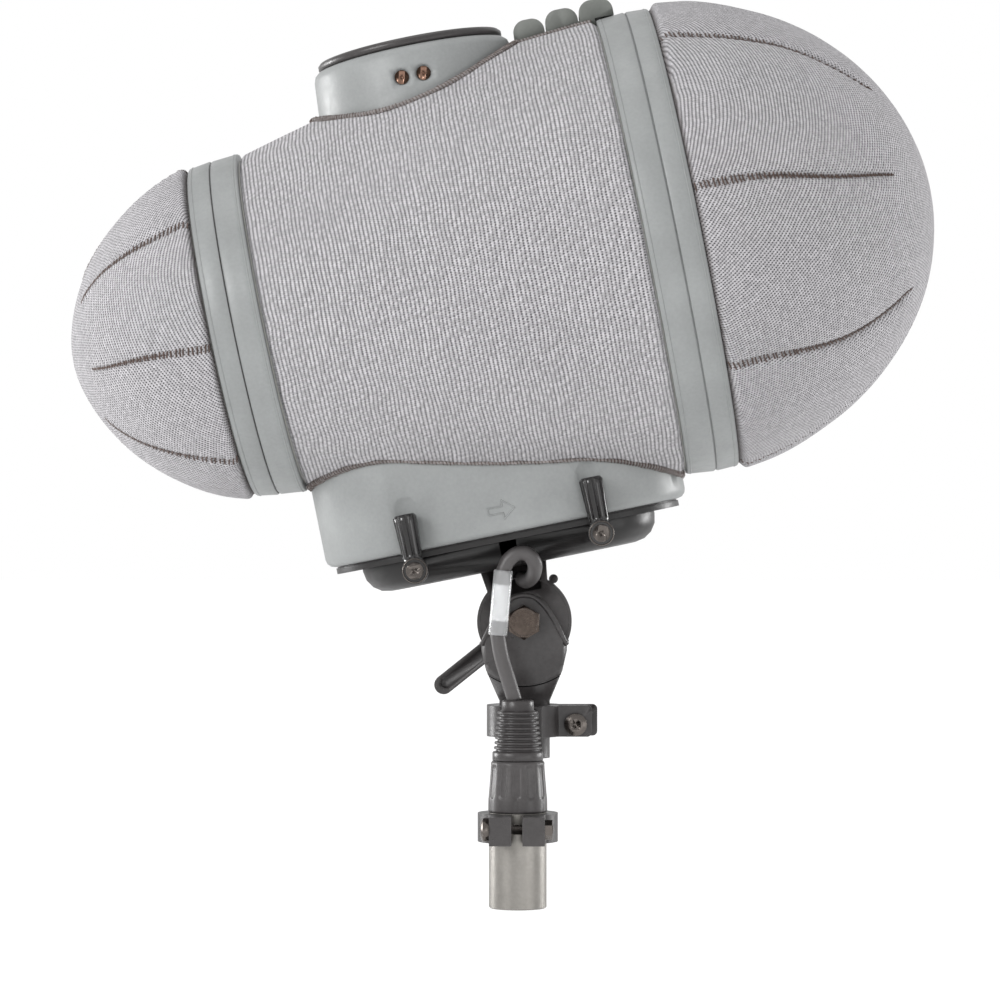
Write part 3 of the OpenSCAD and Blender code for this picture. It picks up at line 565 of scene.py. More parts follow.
def body_cover():
    """The cover between the body rings, open over the housing, round the port and along the grip lugs."""
    rows, cols = 210, 380
    s = np.repeat(np.linspace(COVER_LO, COVER_HI, rows)[:, None], cols, axis=1)
    phi = np.linspace(-1, 1, cols) * cover_low_phi(s)
    flat = around(s, cover_r(s) + cover_ripple(s, phi), phi).reshape(-1, 3)
    faces = []
    for f in grid_faces(rows, cols):
        c = flat[list(f)].mean(0)
        in_port = c[2] > AXIS_H and math.hypot(c[0], c[1]) < PORT_R + 1.6
        in_lugs = c[2] > AXIS_H and abs(c[1]) < LUG_W + 0.3 and LUG_S0 - 1 < c[0] < COVER_HI + 1
        if not in_port and not in_lugs:
            faces.append(f)
    o = new_object("body_cover", flat, faces)
    knit_uv(o, np.stack([s, np.polyval(BODY_FIT, 0) * phi], -1).reshape(-1, 2))
    bm = bmesh.new()
    bm.from_mesh(o.data)
    bmesh.ops.delete(bm, geom=[v for v in bm.verts if not v.link_faces], context="VERTS")
    bmesh.ops.remove_doubles(bm, verts=bm.verts, dist=1e-6)
    bmesh.ops.recalc_face_normals(bm, faces=bm.faces)
    bm.to_mesh(o.data)
    bm.free()
    thicken(o, CLOTH)
    dress(o, "knit", "basket", ("body_fabric",), look=LOOKS["knit_body"])


body_cover()


THREAD_STEP, THREAD_PITCH = 0.16, 1.15  # along an overlocked edge: between points, and from loop to loop


def overlock(name, path, width, closed=True):
    """A serged edge: a rolled core with loops of two threads round it; width may vary with the place s."""
    path = np.asarray(path, float)
    ends = np.concatenate([path, path[:1]]) if closed else path
    length = np.concatenate([[0], np.cumsum(np.linalg.norm(np.diff(ends, axis=0), axis=1))])
    count = int(length[-1] / THREAD_STEP)
    at = np.linspace(0, length[-1], count, endpoint=not closed)
    line = np.stack([np.interp(at, length, ends[:, i]) for i in range(3)], 1)
    width = width(line[:, 0]) if callable(width) else np.full(count, width)
    core = tubes(name + "_core", [line[::4]], width.min() * 0.46, 8, closed)
    dress(core, "knit", "basket", look=THREAD_GREY)
    a, b = across_path(np.gradient(line, axis=0))
    for k, look in enumerate((THREAD_BROWN, THREAD_GREY)):
        turn = (2 * np.pi * (at / THREAD_PITCH + 0.5 * k) + 0.5 * np.sin(at / 3.1))[:, None]
        r = width * 0.5 + 0.10 * rng.standard_normal(count)
        loops = line + r[:, None] * (np.cos(turn) * a + np.sin(turn) * b)
        dress(tubes(f"{name}_loops_{k}", [loops], 0.17, 4, closed), "knit", "basket", look=look)


def lower_edge():
    """The edge of the cover over the housing, clipped where it runs under the body rings."""
    w = HOUSING_W + EDGE_GAP + 0.1
    turn = np.linspace(-np.pi / 2, np.pi / 2, 60)
    front = [(STRAIGHT + w * math.cos(t), w * math.sin(t)) for t in turn]
    side = [(x, w) for x in np.linspace(STRAIGHT, -STRAIGHT, 40)[1:-1]]
    rear = [(-STRAIGHT - w * math.cos(t), -w * math.sin(t)) for t in turn]
    points = front + side + rear + [(-x, -y) for x, y in side]
    out = []
    for s, y in points:
        s_in = float(np.clip(s, COVER_LO + 1.4, COVER_HI - 1.4))
        r = float(cover_r(s_in))
        out.append((s_in, y, AXIS_H - math.sqrt(max(r * r - y * y, 0)) - 0.15))
    return out


def port_edge():
    """The edge of the cover's hole round the port."""
    t, reach = circle(150), PORT_R + 1.7
    s, y = reach * np.cos(t), reach * np.sin(t)
    return np.stack([s, y, AXIS_H + np.sqrt(cover_r(s) ** 2 - y**2) + 0.2], -1)


overlock("lower_hem", lower_edge(), lambda s: 1.15 + 1.25 * smoothstep(0.45, 0.95, np.abs(s) / COVER_HI))
overlock("port_hem", port_edge(), 1.9)
for side in (-1, 1):
    run = [
        (s, side * (LUG_W + 0.5), AXIS_H + math.sqrt(float(cover_r(s)) ** 2 - LUG_W**2) + 0.1)
        for s in np.linspace(LUG_S0 + 0.6, COVER_HI - 1.2, 40)
    ]
    overlock("lug_hem_" + side_name(side), run, 1.5, closed=False)

# ---------- the knit covers of the two end caps ----------

DARTS = 8
GORE = 2 * np.pi / DARTS  # the angle from one dart to the next


def smooth_profile(s, r, step, reach=5.0):
    """Rounds the corners of a turned outline, which carries on straight at the ring and mirrors at the pole."""
    n = int(4 * reach / step)
    s_long = np.concatenate([2 * s[0] - s[n:0:-1], s, s[-2 : -n - 2 : -1]])
    r_long = np.concatenate([2 * r[0] - r[n:0:-1], r, -r[-2 : -n - 2 : -1]])
    weight = np.exp(-((np.arange(-n, n + 1) * step / reach) ** 2) / 2)
    weight /= weight.sum()
    return np.convolve(s_long, weight, mode="valid"), np.convolve(r_long, weight, mode="valid")


class Dome:
    """A cap's cover: arc length from the ring along the outline, angle round the axis."""

    def __init__(self, cap, side, first_dart, grain, lean):
        """Angles in degrees; lean is how far each dart's far end has swung round."""
        self.cap, self.side = cap, side
        self.first, self.grain, self.lean = np.radians(first_dart), np.radians(grain), np.radians(lean)
        s, r = outline(cap + "_fabric")
        if side < 0:
            s, r = s[::-1], r[::-1]
        pole = np.argmax(np.abs(s)) + 1
        ring = np.argmax(r[:pole])
        s, r = s[ring:pole], r[ring:pole]
        arc = np.concatenate([[0], np.cumsum(np.hypot(np.diff(s), np.diff(r)))])
        self.length = arc[-1]
        self.arc, step = np.linspace(0, self.length, 400, retstep=True)
        self.s, self.r = smooth_profile(np.interp(self.arc, arc, s), np.interp(self.arc, arc, r), step)
        self.r[-1] = 0
        reached = np.abs(self.s - self.s[0]) / abs(self.s[-1] - self.s[0])
        self.end = float(np.interp(0.82, reached, self.arc))  # where the darts end

    def stray(self, k, a):
        """How far a dart has turned from its even place round the cap: hand sewing, and its own lean."""
        k, a = np.broadcast_arrays(np.asarray(k, float), np.asarray(a, float))
        r = np.maximum(np.interp(a, self.arc, self.r), 1)
        lean = self.lean[k.astype(int) % DARTS] * smoothstep(0, 1.1, a / self.end)
        return 0.45 * np.sin(a / 8 + 1.7 * (k % DARTS)) / np.maximum(r, 12) + lean

    def dart_angle(self, k, a):
        return self.first + GORE * k + self.stray(k, a)

    def point(self, a, phi, lift=0.0):
        """Head coordinates of the cover's surface, and how deep in a dart the point is."""
        a, phi = np.broadcast_arrays(np.asarray(a, float), np.asarray(phi, float))
        s, r = np.interp(a, self.arc, self.s), np.interp(a, self.arc, self.r)
        ds, dr = np.gradient(self.s, self.arc), np.gradient(self.r, self.arc)
        ns, nr = -np.interp(a, self.arc, dr) * self.side, np.interp(a, self.arc, ds) * self.side
        size = np.hypot(ns, nr)
        ns, nr = ns / size * self.side, nr / size
        stray = self.stray(np.round((phi - self.first) / GORE), a)
        turn = (phi - self.first + GORE / 2) % GORE - GORE / 2 - stray
        across = np.abs(turn) * r
        turn = turn * (GORE / 2) / (GORE / 2 + stray * np.where(turn > 0, -1, 1))
        live = smoothstep(self.end + 2.5, self.end - 5, a)
        valley = np.exp(-((across / 1.5) ** 2)) * live
        facet = (1 - np.clip(np.abs(turn) / (GORE / 2), 0, 1)) ** 1.6
        ease = smoothstep(0, 16, a) * smoothstep(self.end + 14, self.end - 22, a)
        bulge = 1.15 * smoothstep(0, 3.0, a) * (1 - smoothstep(10, 34, a)) - 1.4 * smoothstep(2.0, 0, a)
        pucker = 0.18 * np.sin(a * 2 * np.pi / 2.9) * np.exp(-((across / 5) ** 2)) * live
        push = bulge - 1.15 * facet * ease - valley * (0.55 + 0.5 * smoothstep(0, 12, a)) + pucker + lift
        return around(s + ns * push, r + nr * push, phi), valley

    def cover(self):
        """The cloth, with its points crowded together at the darts."""
        offsets = np.array([0, 0.35, 0.75, 1.2, 1.8, 2.6, 3.8, 5.5, 7.6, 10, 13, 16.5, 20.5, 25])
        half = offsets / offsets.max() * (GORE / 2)
        a = np.concatenate([np.linspace(0, 6, 16), np.linspace(6, self.length - 0.6, 130)[1:]])
        turn = np.concatenate([-half[::-1][:-1], half[:-1]])
        columns = []
        for k in range(DARTS):
            stray = self.stray(k, a)[:, None]
            room = 1 - stray * np.where(turn > 0, 1, -1) / (GORE / 2)
            columns.append(self.first + k * GORE + stray + turn * room)
        phi = np.concatenate(columns, 1)
        points, depth = self.point(a[:, None], phi)
        tip, _ = self.point(np.array([self.length]), np.array([0.0]))
        verts = np.concatenate([points.reshape(-1, 3), [[tip[0][0], 0, AXIS_H]]])
        rows, cols = phi.shape
        last = (rows - 1) * cols
        faces = grid_faces(rows, cols, True)
        faces += [(last + j, last + (j + 1) % cols, rows * cols) for j in range(cols)]
        o = new_object(self.cap + "_cover", verts, faces)
        reach, turned = (self.length - a)[:, None], phi - self.grain
        uv = np.stack([reach * np.cos(turned), reach * np.sin(turned)], -1).reshape(-1, 2)
        knit_uv(o, np.concatenate([uv, [[0, 0]]]))
        # painted shade along the dart valleys, deeper away from the ring, and a painted shadow where the cloth
        # tucks under the ring, kept in the seam values
        seam = o.data.attributes.new("seam", "FLOAT", "POINT")
        near = smoothstep(self.end * 0.1, self.end * 0.5, a)[:, None]
        tuck = smoothstep(1.6, 0.2, a)[:, None] * 0.9
        shade_mask = np.clip(depth**3 * (0.1 + 0.5 * near) + tuck, 0, 1)
        seam.data.foreach_set("value", np.concatenate([shade_mask.ravel(), [0]]).astype(np.float32))
        fix_normals(o)
        thicken(o, 1.2)
        dress(o, "knit", self.cap, (self.cap + "_fabric",))

    def stitches(self):
        """Short cross threads along each dart, closing to a line away from the ring, over a lock thread."""
        pitch = 1.45
        bars, locks = [], []
        for k in range(DARTS):
            a = np.arange(0.9, self.end, pitch)
            a = a + 0.12 * rng.standard_normal(len(a))
            for place in a:
                closing = float(smoothstep(0.05, 0.95, np.clip(place / self.end, 0, 1)))
                half = 0.42 + 0.88 * (1 - closing) * (1 + 0.12 * rng.standard_normal())
                r = max(float(np.interp(place, self.arc, self.r)), 1)
                slant = 0.22 + 0.08 * rng.standard_normal()
                t = np.linspace(-1, 1, 7)
                phi = float(self.dart_angle(k, place)) + t * half / r
                bars.append(self.point(place + slant * t, phi, 0.10 + 0.16 * (1 - t**2))[0])
            fine = np.arange(self.end * 0.3, self.end + 0.8, pitch / 8)
            sway = 0.34 * np.sin(2 * np.pi * fine / (pitch * 0.6))
            sway /= np.maximum(np.interp(fine, self.arc, self.r), 1)
            locks.append(self.point(fine, self.dart_angle(k, fine) + sway, 0.05)[0])
        for kind, paths, radius in (("bars", bars, 0.28), ("locks", locks, 0.15)):
            name = f"{self.cap}_stitches_{kind}"
            dress(tubes(name, paths, radius, 5), "knit", self.cap, look=THREAD_BROWN)


for dome in (
    Dome("front_cap", 1, 36.5, 58, (0, 3, 12, 0, 2, -3, 4, -2)),
    Dome("rear_cap", -1, 52, 75, (-4, 2, 0, 3, -2, 2, 0, -3)),
):
    dome.cover()
    dome.stitches()

# ---------- rings, housing, port, base and swivel ----------

# nodes that get more than a plain softened copy
SPECIAL = {
    "body_fabric", "front_cap_fabric", "rear_cap_fabric", "output_cable", "cable_sleeve", "cable_label",
    "pivot_bolt", "connector_boot", "connector_back_shell", "latch_washers", "clamp_rivets", "front_seal",
    "lyre_front", "lyre_rear",
}  # fmt: skip
# the knuckle takes the lighter copy of the black: painted light for its highlights
OWN_LOOK = {
    "base_tray": LOOKS["tray_black"], "base_plate": LOOKS["tray_black"], "swivel_knuckle": LOOKS["black_lit"],
    "connector_shell": LOOKS["satin"],
}  # fmt: skip
SOFT = {node: plain(node, OWN_LOOK.get(node)) for node in frame["nodes"] if node not in SPECIAL}
for node in ("latch_washers", "clamp_rivets"):
    plain(node, LOOKS["gloss_black"])
dress(soften("front_seal"), "rubber", "front_seal", ("front_seal",), look=PALE_SEAL)


def cut(target, cutters):
    """Cuts closed shapes, given as (vertices in the row frame, faces), out of a softened piece."""
    verts, faces = join_arrays(cutters)
    tool = new_object("cutter", verts, faces, row=True)
    fix_normals(tool)
    m = target.modifiers.new("cut", "BOOLEAN")
    m.operation, m.object, m.solver = "DIFFERENCE", tool, "EXACT"
    evaluated = target.evaluated_get(bpy.context.evaluated_depsgraph_get())
    mesh = bpy.data.meshes.new_from_object(evaluated)
    looks = list(target.data.materials)
    target.modifiers.remove(m)
    target.data = mesh
    mesh.materials.clear()
    for look in looks:
        mesh.materials.append(look)
    bpy.data.objects.remove(tool)
    shade_smooth(mesh)
    mesh.set_sharp_from_angle(angle=SHARP)


def ball(centre, radii):
    """Vertices and faces of an ellipsoid."""
    rings, sides = 72, 96
    a, b = np.linspace(0, np.pi, rings)[1:-1, None], circle(sides)
    shell = np.stack(np.broadcast_arrays(np.sin(a) * np.cos(b), np.sin(a) * np.sin(b), np.cos(a)), -1)
    verts = np.concatenate([shell.reshape(-1, 3), [[0, 0, 1], [0, 0, -1]]]) * radii + centre
    n = len(a)
    faces = grid_faces(n, sides, True)
    faces += [(n * sides, j, (j + 1) % sides) for j in range(sides)]
    faces += [(n * sides + 1, (n - 1) * sides + (j + 1) % sides, (n - 1) * sides + j) for j in range(sides)]
    return verts, faces


def islands(node):
    """The separate solids of a CAD node, as vertices in the row frame, in the order of the node's vertices."""
    bm = bmesh.new()
    bm.from_mesh(frame["nodes"][node].data)
    bmesh.ops.remove_doubles(bm, verts=bm.verts, dist=WELD)
    seen, out = set(), []
    for start in bm.verts:
        if start in seen:
            continue
        stack, found = [start], []
        seen.add(start)
        while stack:
            v = stack.pop()
            found.append(v.co[:])
            for e in v.link_edges:
                w = e.other_vert(v)
                if w not in seen:
                    seen.add(w)
                    stack.append(w)
        out.append(np.array(found))
    bm.free()
    return out


BOX_FACES = [(0, 1, 2, 3), (7, 6, 5, 4), (0, 4, 5, 1), (1, 5, 6, 2), (2, 6, 7, 3), (3, 7, 4, 0)]


def cross_recess(top, axis, size, depth, spin):
    """Two crossed, tapering slots for a screwdriver, from a point on a screw head inwards along axis."""
    side = unit(np.cross(axis, [0.2, 0.1, 0.97]))
    other = np.cross(axis, side)
    a = side * math.cos(spin) + other * math.sin(spin)
    b = other * math.cos(spin) - side * math.sin(spin)
    out = []
    for p, q in ((a, b), (b, a)):
        corners = []
        for h, long, wide in ((-0.6 * MM, size, size * 0.24), (depth, size * 0.315, size * 0.108)):
            for i, j in ((-1, -1), (1, -1), (1, 1), (-1, 1)):
                corners.append(top + axis * h + p * i * long + q * j * wide)
        out.append((np.array(corners), BOX_FACES))
    return out


def recess_screws(node, size, depth, outward):
    """Cuts a cross recess into the head of each screw; outward gives the head's direction from its centre."""
    for k, points in enumerate(islands(node)):
        way = unit(np.asarray(outward(points.mean(0)), float))
        middle = (points.min(0) + points.max(0)) / 2
        along = (points - middle) @ way
        head = points[along > along.max() - 1.2 * MM]
        spot = (head.min(0) + head.max(0)) / 2
        top = spot + way * (along.max() - (spot - middle) @ way)
        for slot in cross_recess(top, -way, size * MM, depth * MM, 0.5 + 0.7 * k):
            cut(SOFT[node], [slot])


recess_screws("latch_screws", 1.75, 1.1, lambda c: (0, np.sign(c[1]), 0))
recess_screws("clamp_screws", 2.2, 1.3, lambda c: (0, -1, 0) if c[1] > -0.02 else (-1, 0, 0))
recess_screws("port_screws", 1.15, 0.7, lambda c: (0, np.sign(c[1]), 0))

# shallow dishes in the housing behind the latch levers
for node in ("latch_front_right", "latch_rear_right", "latch_front_left", "latch_rear_left"):
    s, y, h = sum(head_box(node)) / 2
    verts, faces = ball((s, np.sign(y) * (HOUSING_W + 29.3), h + 2.5), (42, 30, 62))
    cut(SOFT["bottom_housing"], [(to_row(verts), faces)])

# a raised direction arrow on each side of the housing
arrow = [(-4.3, 1.1), (0.5, 1.1), (0.5, 3.1), (4.4, 0), (0.5, -3.1), (0.5, -1.1), (-4.3, -1.1)]
rows = []
for side in (-1, 1):
    corners = np.array([(0.3 + s, side * (HOUSING_W + 0.02), 37.8 + h) for s, h in arrow])
    ends = np.concatenate([corners, corners[:1]])
    share = np.linspace(0, 1, 12)[:-1, None]
    rows.append(np.concatenate([a + (b - a) * share for a, b in zip(ends, ends[1:])]))
dress(tubes("direction_arrow", rows, 0.26, 8, closed=True), "shell", "basket")

# a fine raised lip near the cloth side of each ring
for node, cloth_side in (
    ("front_body_ring", -1), ("front_cap_ring", 1), ("rear_body_ring", 1), ("rear_cap_ring", -1),
):  # fmt: skip
    ring_s, ring_r = outline(node)
    place = ring_s[ring_r > ring_r.max() - 2.2]
    at = (place.min() if cloth_side < 0 else place.max()) - cloth_side * 1.3
    r = float(np.interp(at, ring_s, ring_r))
    lip = ((-0.32, -0.3), (-0.26, 0.08), (0, 0.17), (0.26, 0.08), (0.32, -0.3))
    dress(lathe(node + "_lip", [(at + s, r + h) for s, h in lip]), "shell", body_of_node(node))

# ---------- swivel details ----------

bolt_low, bolt_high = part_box("pivot_bolt")
PX, PZ = PIVOT.x / MM, PIVOT.z / MM


def hex_bolt():
    """The pivot bolt: a chamfered hexagon head on the right side and the shank behind it."""
    flat, head, shank, cols = 5.0, 4.0, 3.0, 72  # half across flats, height, radius
    t = circle(cols)
    hexagon = flat / np.cos(t % (np.pi / 3) - np.pi / 6)
    face, end = bolt_low.y / MM, bolt_high.y / MM
    rows = []
    for r, y in (
        (0.01, face + 0.15), (flat * 0.86, face + 0.15), (flat * 0.88, face), (flat * 0.95, face),
        (hexagon, face + (hexagon - flat * 0.95) * 0.75), (hexagon, face + head), (shank, face + head),
        (shank, end), (0.01, end),
    ):  # fmt: skip
        rows.append(np.stack(np.broadcast_arrays(PX + r * np.sin(t), y, PZ + r * np.cos(t)), -1))
    o = new_object("pivot_bolt_head", np.concatenate(rows) * MM, grid_faces(len(rows), cols, True), row=True)
    fix_normals(o)
    o.data.set_sharp_from_angle(angle=math.radians(24))
    dress(o, "steel", "swivel_stem", ("pivot_bolt",), look=LOOKS["bolt"])


hex_bolt()


def surface_of(node):
    """A CAD node's surface, to drop points on."""
    mesh = frame["nodes"][node].data
    return BVHTree.FromPolygons([v.co[:] for v in mesh.vertices], [p.vertices[:] for p in mesh.polygons])


def onto(surface, x, z, side):
    """The point where a line across the object, coming in from one side, meets a surface."""
    hit = surface.ray_cast(Vector((x * MM, side * 0.1, z * MM)), Vector((0, -side, 0)))[0]
    return None if hit is None or hit.y * side < 0 else np.array(hit[:])


def yoke_lines():
    """A raised rib round the arch of each cheek, and the parting line of the cup below it."""
    surface = surface_of("swivel_yoke")
    for side in (-1, 1):
        arch = []
        for x in np.linspace(-14.1, 14.1, 57):
            z = PZ + 9.2 - 17 * (x / 14) ** 2
            while onto(surface, x, z + 0.5, side) is None and z > PZ - 14:
                z -= 0.25
            found = onto(surface, x, z, side)
            if found is not None:
                arch.append(found)
        arch = np.array(arch)
        for axis in (1, 2):
            arch[:, axis] = np.convolve(np.pad(arch[:, axis], 2, mode="edge"), np.ones(5) / 5, mode="valid")
        dress(tubes("yoke_ridge_" + side_name(side), [arch], 0.85 * MM, 12, row=True), "black", "swivel_stem")
        # the parting line: a near-black tube, painted shadow in its groove, with a black bead just above it
        for lift, radius, look in ((0.0, 0.22, "gap"), (0.42, 0.2, "black")):
            low = PZ - 21.2 + lift
            line = [onto(surface, x, low + 3.8 * (x / 12.4) ** 2, side) for x in np.linspace(-12.6, 12.6, 50)]
            line = np.array([p for p in line if p is not None])
            name = f"yoke_parting_{side_name(side)}_{look}"
            dress(tubes(name, [line], radius * MM, 8, row=True), "black", "swivel_stem", look=LOOKS[look])


yoke_lines()

# a moulded rim on each face of the knuckle
knuckle_half = head_box("swivel_knuckle")[1][1]
for side in (-1, 1):
    t = np.linspace(0.35, np.pi * 1.5, 90) - 1.2
    rim = [(14.7 * math.cos(a), side * (knuckle_half - 0.2), 14.7 * math.sin(a)) for a in t]
    dress(tubes("knuckle_rim_" + side_name(side), [rim], 0.26, 8), "black", "base")

# a bright turned edge round each latch washer
rims = []
for points in islands("latch_washers"):
    middle = (points.min(0) + points.max(0)) / 2
    out = points[np.abs(points[:, 1]) > np.abs(points[:, 1]).max() - 0.1 * MM]
    r = (out[:, 2].max() - out[:, 2].min()) / 2 - 0.15 * MM
    t = circle(48)
    x, z = middle[0] + r * np.cos(t), middle[2] + r * np.sin(t)
    rims.append(np.stack(np.broadcast_arrays(x, out[0, 1], z), -1))
dress(tubes("washer_rims", rims, 0.24 * MM, 8, closed=True, row=True), "nickel", "base")

# ---------- connector: ribbed boot and fluted back shell ----------


def turned(name, node, profile, slot, look=None, flutes=None):
    """Turns a profile of (radius, height) about the connector's upright axis; flutes are taken off it."""
    low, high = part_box(node)
    cx, cy = (low.x + high.x) / 2 / MM, (low.y + high.y) / 2 / MM
    t = circle(ROUND)
    r, z = np.asarray(profile, float).T[:, :, None]
    if flutes is not None:
        r = r - flutes(t, z)
    verts = np.stack(np.broadcast_arrays(cx + r * np.sin(t), cy + r * np.cos(t), z), -1).reshape(-1, 3) * MM
    o = new_object(name, verts, grid_faces(len(profile), ROUND, True), row=True)
    fix_normals(o)
    dress(o, slot, "swivel_stem", (node,), look=look)


boot_low, boot_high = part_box("connector_boot")
boot_r = (boot_high.x - boot_low.x) / 2 / MM
top, bottom = boot_high.z / MM, boot_low.z / MM
RIBS, RIB_PITCH = 8, 1.64
profile = [
    (2.6, top - 2.0), (2.8, top - 0.3), (3.4, top), (4.6, top), (5.05, top - 0.25), (5.2, top - 0.8),
    (5.25, top - 3.3),
]  # fmt: skip
for i in range(RIBS):
    z, r = top - 3.7 - i * RIB_PITCH, 6.6 + 1.2 * i / (RIBS - 1)
    profile += [
        (r - 1.0, z + 0.25), (r - 0.9, z + 0.02), (r - 0.12, z - 0.1), (r, z - 0.35), (r, z - 0.6),
        (r - 0.12, z - 0.85), (r - 0.9, z - 0.98),
    ]  # fmt: skip
profile += [
    (boot_r - 1.0, bottom + 3.1), (boot_r - 0.25, bottom + 2.95), (boot_r, bottom + 2.6),
    (boot_r, bottom + 0.3), (boot_r - 0.3, bottom), (3, bottom),
]  # fmt: skip
turned("boot", "connector_boot", profile, "rubber")

shell_low, shell_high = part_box("connector_back_shell")
shell_r = (shell_high.x - shell_low.x) / 2 / MM
top, bottom = shell_high.z / MM, shell_low.z / MM


def flutes(t, z):
    """Long U-ended grips round the back shell, and a fine seam beside every other one."""
    pitch = 2 * np.pi / 12
    t = t + 0.24  # so that a grip faces the right side
    across = (t % pitch - pitch / 2) * shell_r
    past = np.clip(bottom + 6.0 - z, 0, None)  # beyond the round end's centre
    live = smoothstep(top - 0.4, top - 2.2, z)
    grip = smoothstep(1.6, 1.15, np.hypot(across, past)) * 0.36
    from_seam = ((t + pitch / 2) % (2 * pitch) - pitch) * shell_r
    return (grip + np.exp(-((from_seam / 0.22) ** 2)) * 0.18) * live


z = np.linspace(top, bottom, 70)
taper = 0.85 * smoothstep(bottom, top, z) ** 1.4
rounding = 0.45 * smoothstep(top - 0.8, top, z) + 0.3 * smoothstep(bottom + 0.5, bottom, z)
profile = [(7, top), *zip(shell_r - taper - rounding, z), (7, bottom)]
# the back shell takes the lighter copy of the black: painted light for its highlights
turned("back_shell", "connector_back_shell", profile, "black", LOOKS["black_lit"], flutes)

# ---------- cable ----------


def rounded_path(points, steps=14):
    """A smooth curve through the points."""
    p = np.asarray(points, float)
    p = np.concatenate([[2 * p[0] - p[1]], p, [2 * p[-1] - p[-2]]])
    t = np.linspace(0, 1, steps, endpoint=False)[:, None]
    out = []
    for i in range(1, len(p) - 2):
        a, b, c, d = p[i - 1 : i + 3]
        bend, twist = 2 * a - 5 * b + 4 * c - d, 3 * b - a - 3 * c + d
        out.append(0.5 * (2 * b + (c - a) * t + bend * t**2 + twist * t**3))
    return np.concatenate([*out, [p[-2]]])


BOOT_TOP = (boot_low + boot_high) / 2
BOOT_TOP.z = boot_high.z
# the cable's middle line, from under the tray, round its loop and down the straight run into the boot
cable_points = np.array(
    [[-0.8, -0.4, 59.6], [-0.5, -5, 59.2], [0.9, -12, 59], [3, -19, 61], [3.6, -24, 64.8], [1.5, -26, 67.9],
     [-1.9, -26.2, 68.3], [-4.8, -26, 66.2], [-6.6, -25.8, 62.8], [-8.5, -25.2, 41.6], [-7.3, -25.4, 34.6],
     [-5.3, -25.8, 28], [-2.9, -26, 20.2]]
) * MM
loop, tail = cable_points[:9], cable_points[9:]
straight_top, straight_end = loop[-1], tail[0]


def on_cable(o, node, slot):
    """A piece of the cable, which on the real thing bends between the boot and the tray as the head tilts; here it
    rides on no body, its CAD node hidden and its placement baked in.
    """
    dress(o, slot, None, (node,))
    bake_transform(o)


straight = np.linspace(straight_top, straight_end, 12)[1:-1]
line = np.concatenate([rounded_path(loop), straight, rounded_path(tail)])
on_cable(tubes("cable_jacket", [line], 2.45 * MM, 24, row=True), "output_cable", "cable")


def along_straight(name, node, slot, start, end, radius):
    """A tube round part of the cable's straight run; start and end are shares of its length."""
    path = [straight_top + (straight_end - straight_top) * t for t in np.linspace(start, end, 24)]
    on_cable(tubes(name, [path], radius * MM, 40, row=True), node, slot)


along_straight("blank_label", "cable_label", "label", 0.22, 0.78, 2.75)
along_straight("clear_sleeve", "cable_sleeve", "sleeve", 0.0, 1.0, 3.1)

# ---------- the elastic lyres, between the rail and the microphone bar ----------

bar_low, bar_high = head_box("mic_bar")
for node in ("lyre_front", "lyre_rear"):
    low, high = head_box(node)
    middle = (low + high) / 2
    lyre = dress(soften(node), SLOT_OF[node], None, (node,))
    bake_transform(lyre)

# ---------- camera, light, floor ----------

scene = bpy.context.scene
scene.view_settings.view_transform = "Standard"
look_at = Vector((-0.0082, 0.0, 0.0857))
camera_turn, camera_distance = math.radians(1.1), 1.32
cam = linked("camera", bpy.data.cameras.new("camera"))
cam.location = look_at + camera_distance * Vector((math.sin(camera_turn), -math.cos(camera_turn), 0))
cam.rotation_euler = (look_at - cam.location).to_track_quat("-Z", "Y").to_euler()
cam.data.lens, cam.data.sensor_width = 142.7, 36
cam.data.clip_start, cam.data.clip_end = 0.05, 30
scene.camera = cam

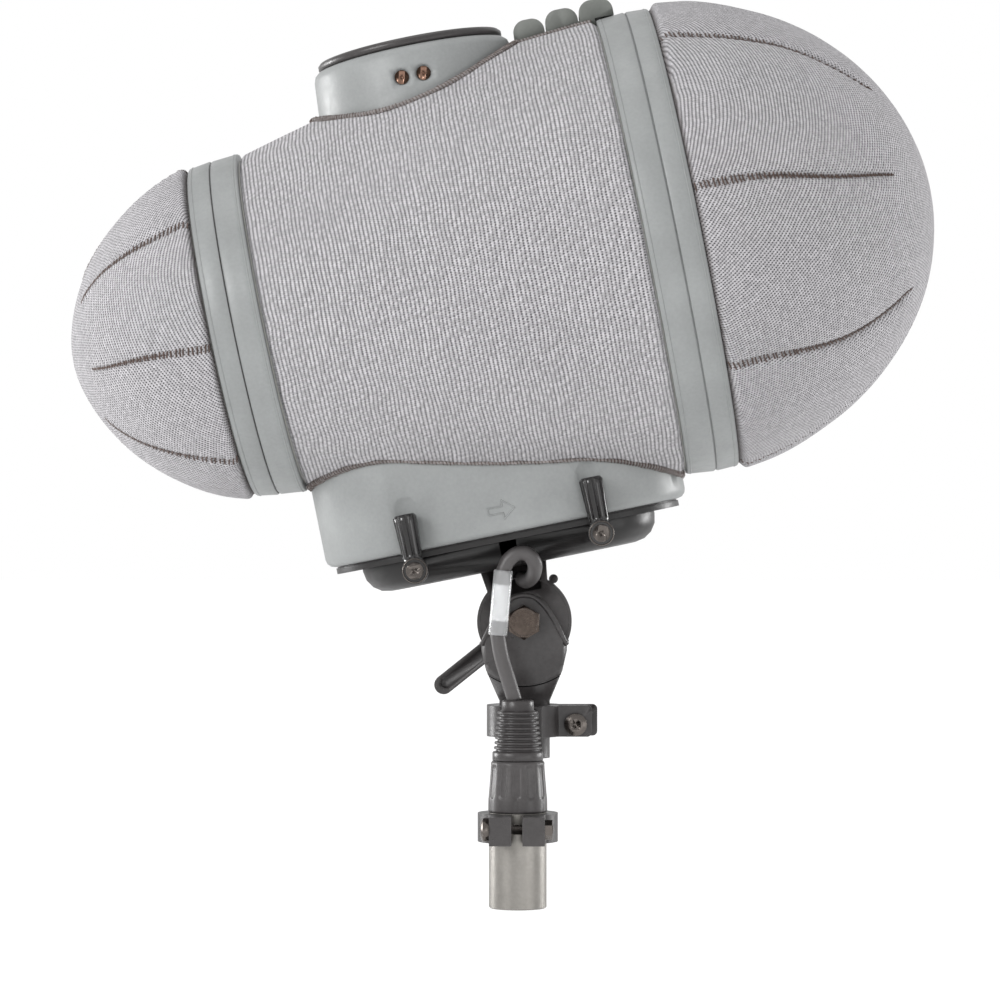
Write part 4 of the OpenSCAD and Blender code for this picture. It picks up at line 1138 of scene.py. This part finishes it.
# soft round lamps aimed at the object: name, place, diameter and power
for name, place, size, power in (
    ("key", (-1.1, -1.15, 0.6), 0.7, 12), ("fill", (1.3, -1.1, -0.1), 0.9, 3),
    ("top", (-0.2, -0.1, 1.3), 0.8, 2), ("bounce", (0.2, -0.8, -0.15), 0.6, 0.6),
    ("rim_left", (-1.1, 0.55, 0.15), 0.5, 7), ("rim_right", (1.1, 0.55, 0.15), 0.5, 6),
):  # fmt: skip
    lamp = bpy.data.lights.new(name, "AREA")
    lamp.shape, lamp.size, lamp.energy = "DISK", size, power
    o = linked(name, lamp)
    o.location = place
    o.rotation_euler = (look_at - Vector(place)).to_track_quat("-Z", "Y").to_euler()

# a white surround, a little brighter to the camera than in the light it sheds
world = bpy.data.worlds.new("studio")
scene.world = world
world.use_nodes = True
tree = world.node_tree
tree.nodes.clear()
mixed = tree.nodes.new("ShaderNodeMixShader")
tree.links.new(tree.nodes.new("ShaderNodeLightPath").outputs["Is Camera Ray"], mixed.inputs[0])
for socket, strength in ((1, 0.75), (2, 1.0)):
    white = tree.nodes.new("ShaderNodeBackground")
    white.inputs["Color"].default_value = (1, 1, 1, 1)
    white.inputs["Strength"].default_value = strength
    tree.links.new(white.outputs[0], mixed.inputs[socket])
tree.links.new(mixed.outputs[0], tree.nodes.new("ShaderNodeOutputWorld").inputs[0])

# a pale floor that fades, for the camera only, into the white of the surround
FLOOR_HALF, FLOOR_DROP = 20, 0.3
square = ((-1, -1), (1, -1), (1, 1), (-1, 1))
corners = [(x * FLOOR_HALF, y * FLOOR_HALF, cad_low.z - FLOOR_DROP) for x, y in square]
floor_mesh = bpy.data.meshes.new("floor")
floor_mesh.from_pydata(corners, [], [(0, 1, 2, 3)])
pale = Graph("floor_pale")
far = pale.ramp(pale.vector("LENGTH", a=pale.position), 0.7, 2.0, smooth=True)
seen_far = pale.times(far, pale.add("ShaderNodeLightPath").outputs["Is Camera Ray"])
floor_mesh.materials.append(
    pale.finish(
        Base_Color=(0.86, 0.86, 0.86, 1), Roughness=0.8,
        Emission_Color=(1, 1, 1, 1), Emission_Strength=pale.times(seen_far, 0.45),
    )
)
linked("floor", floor_mesh)
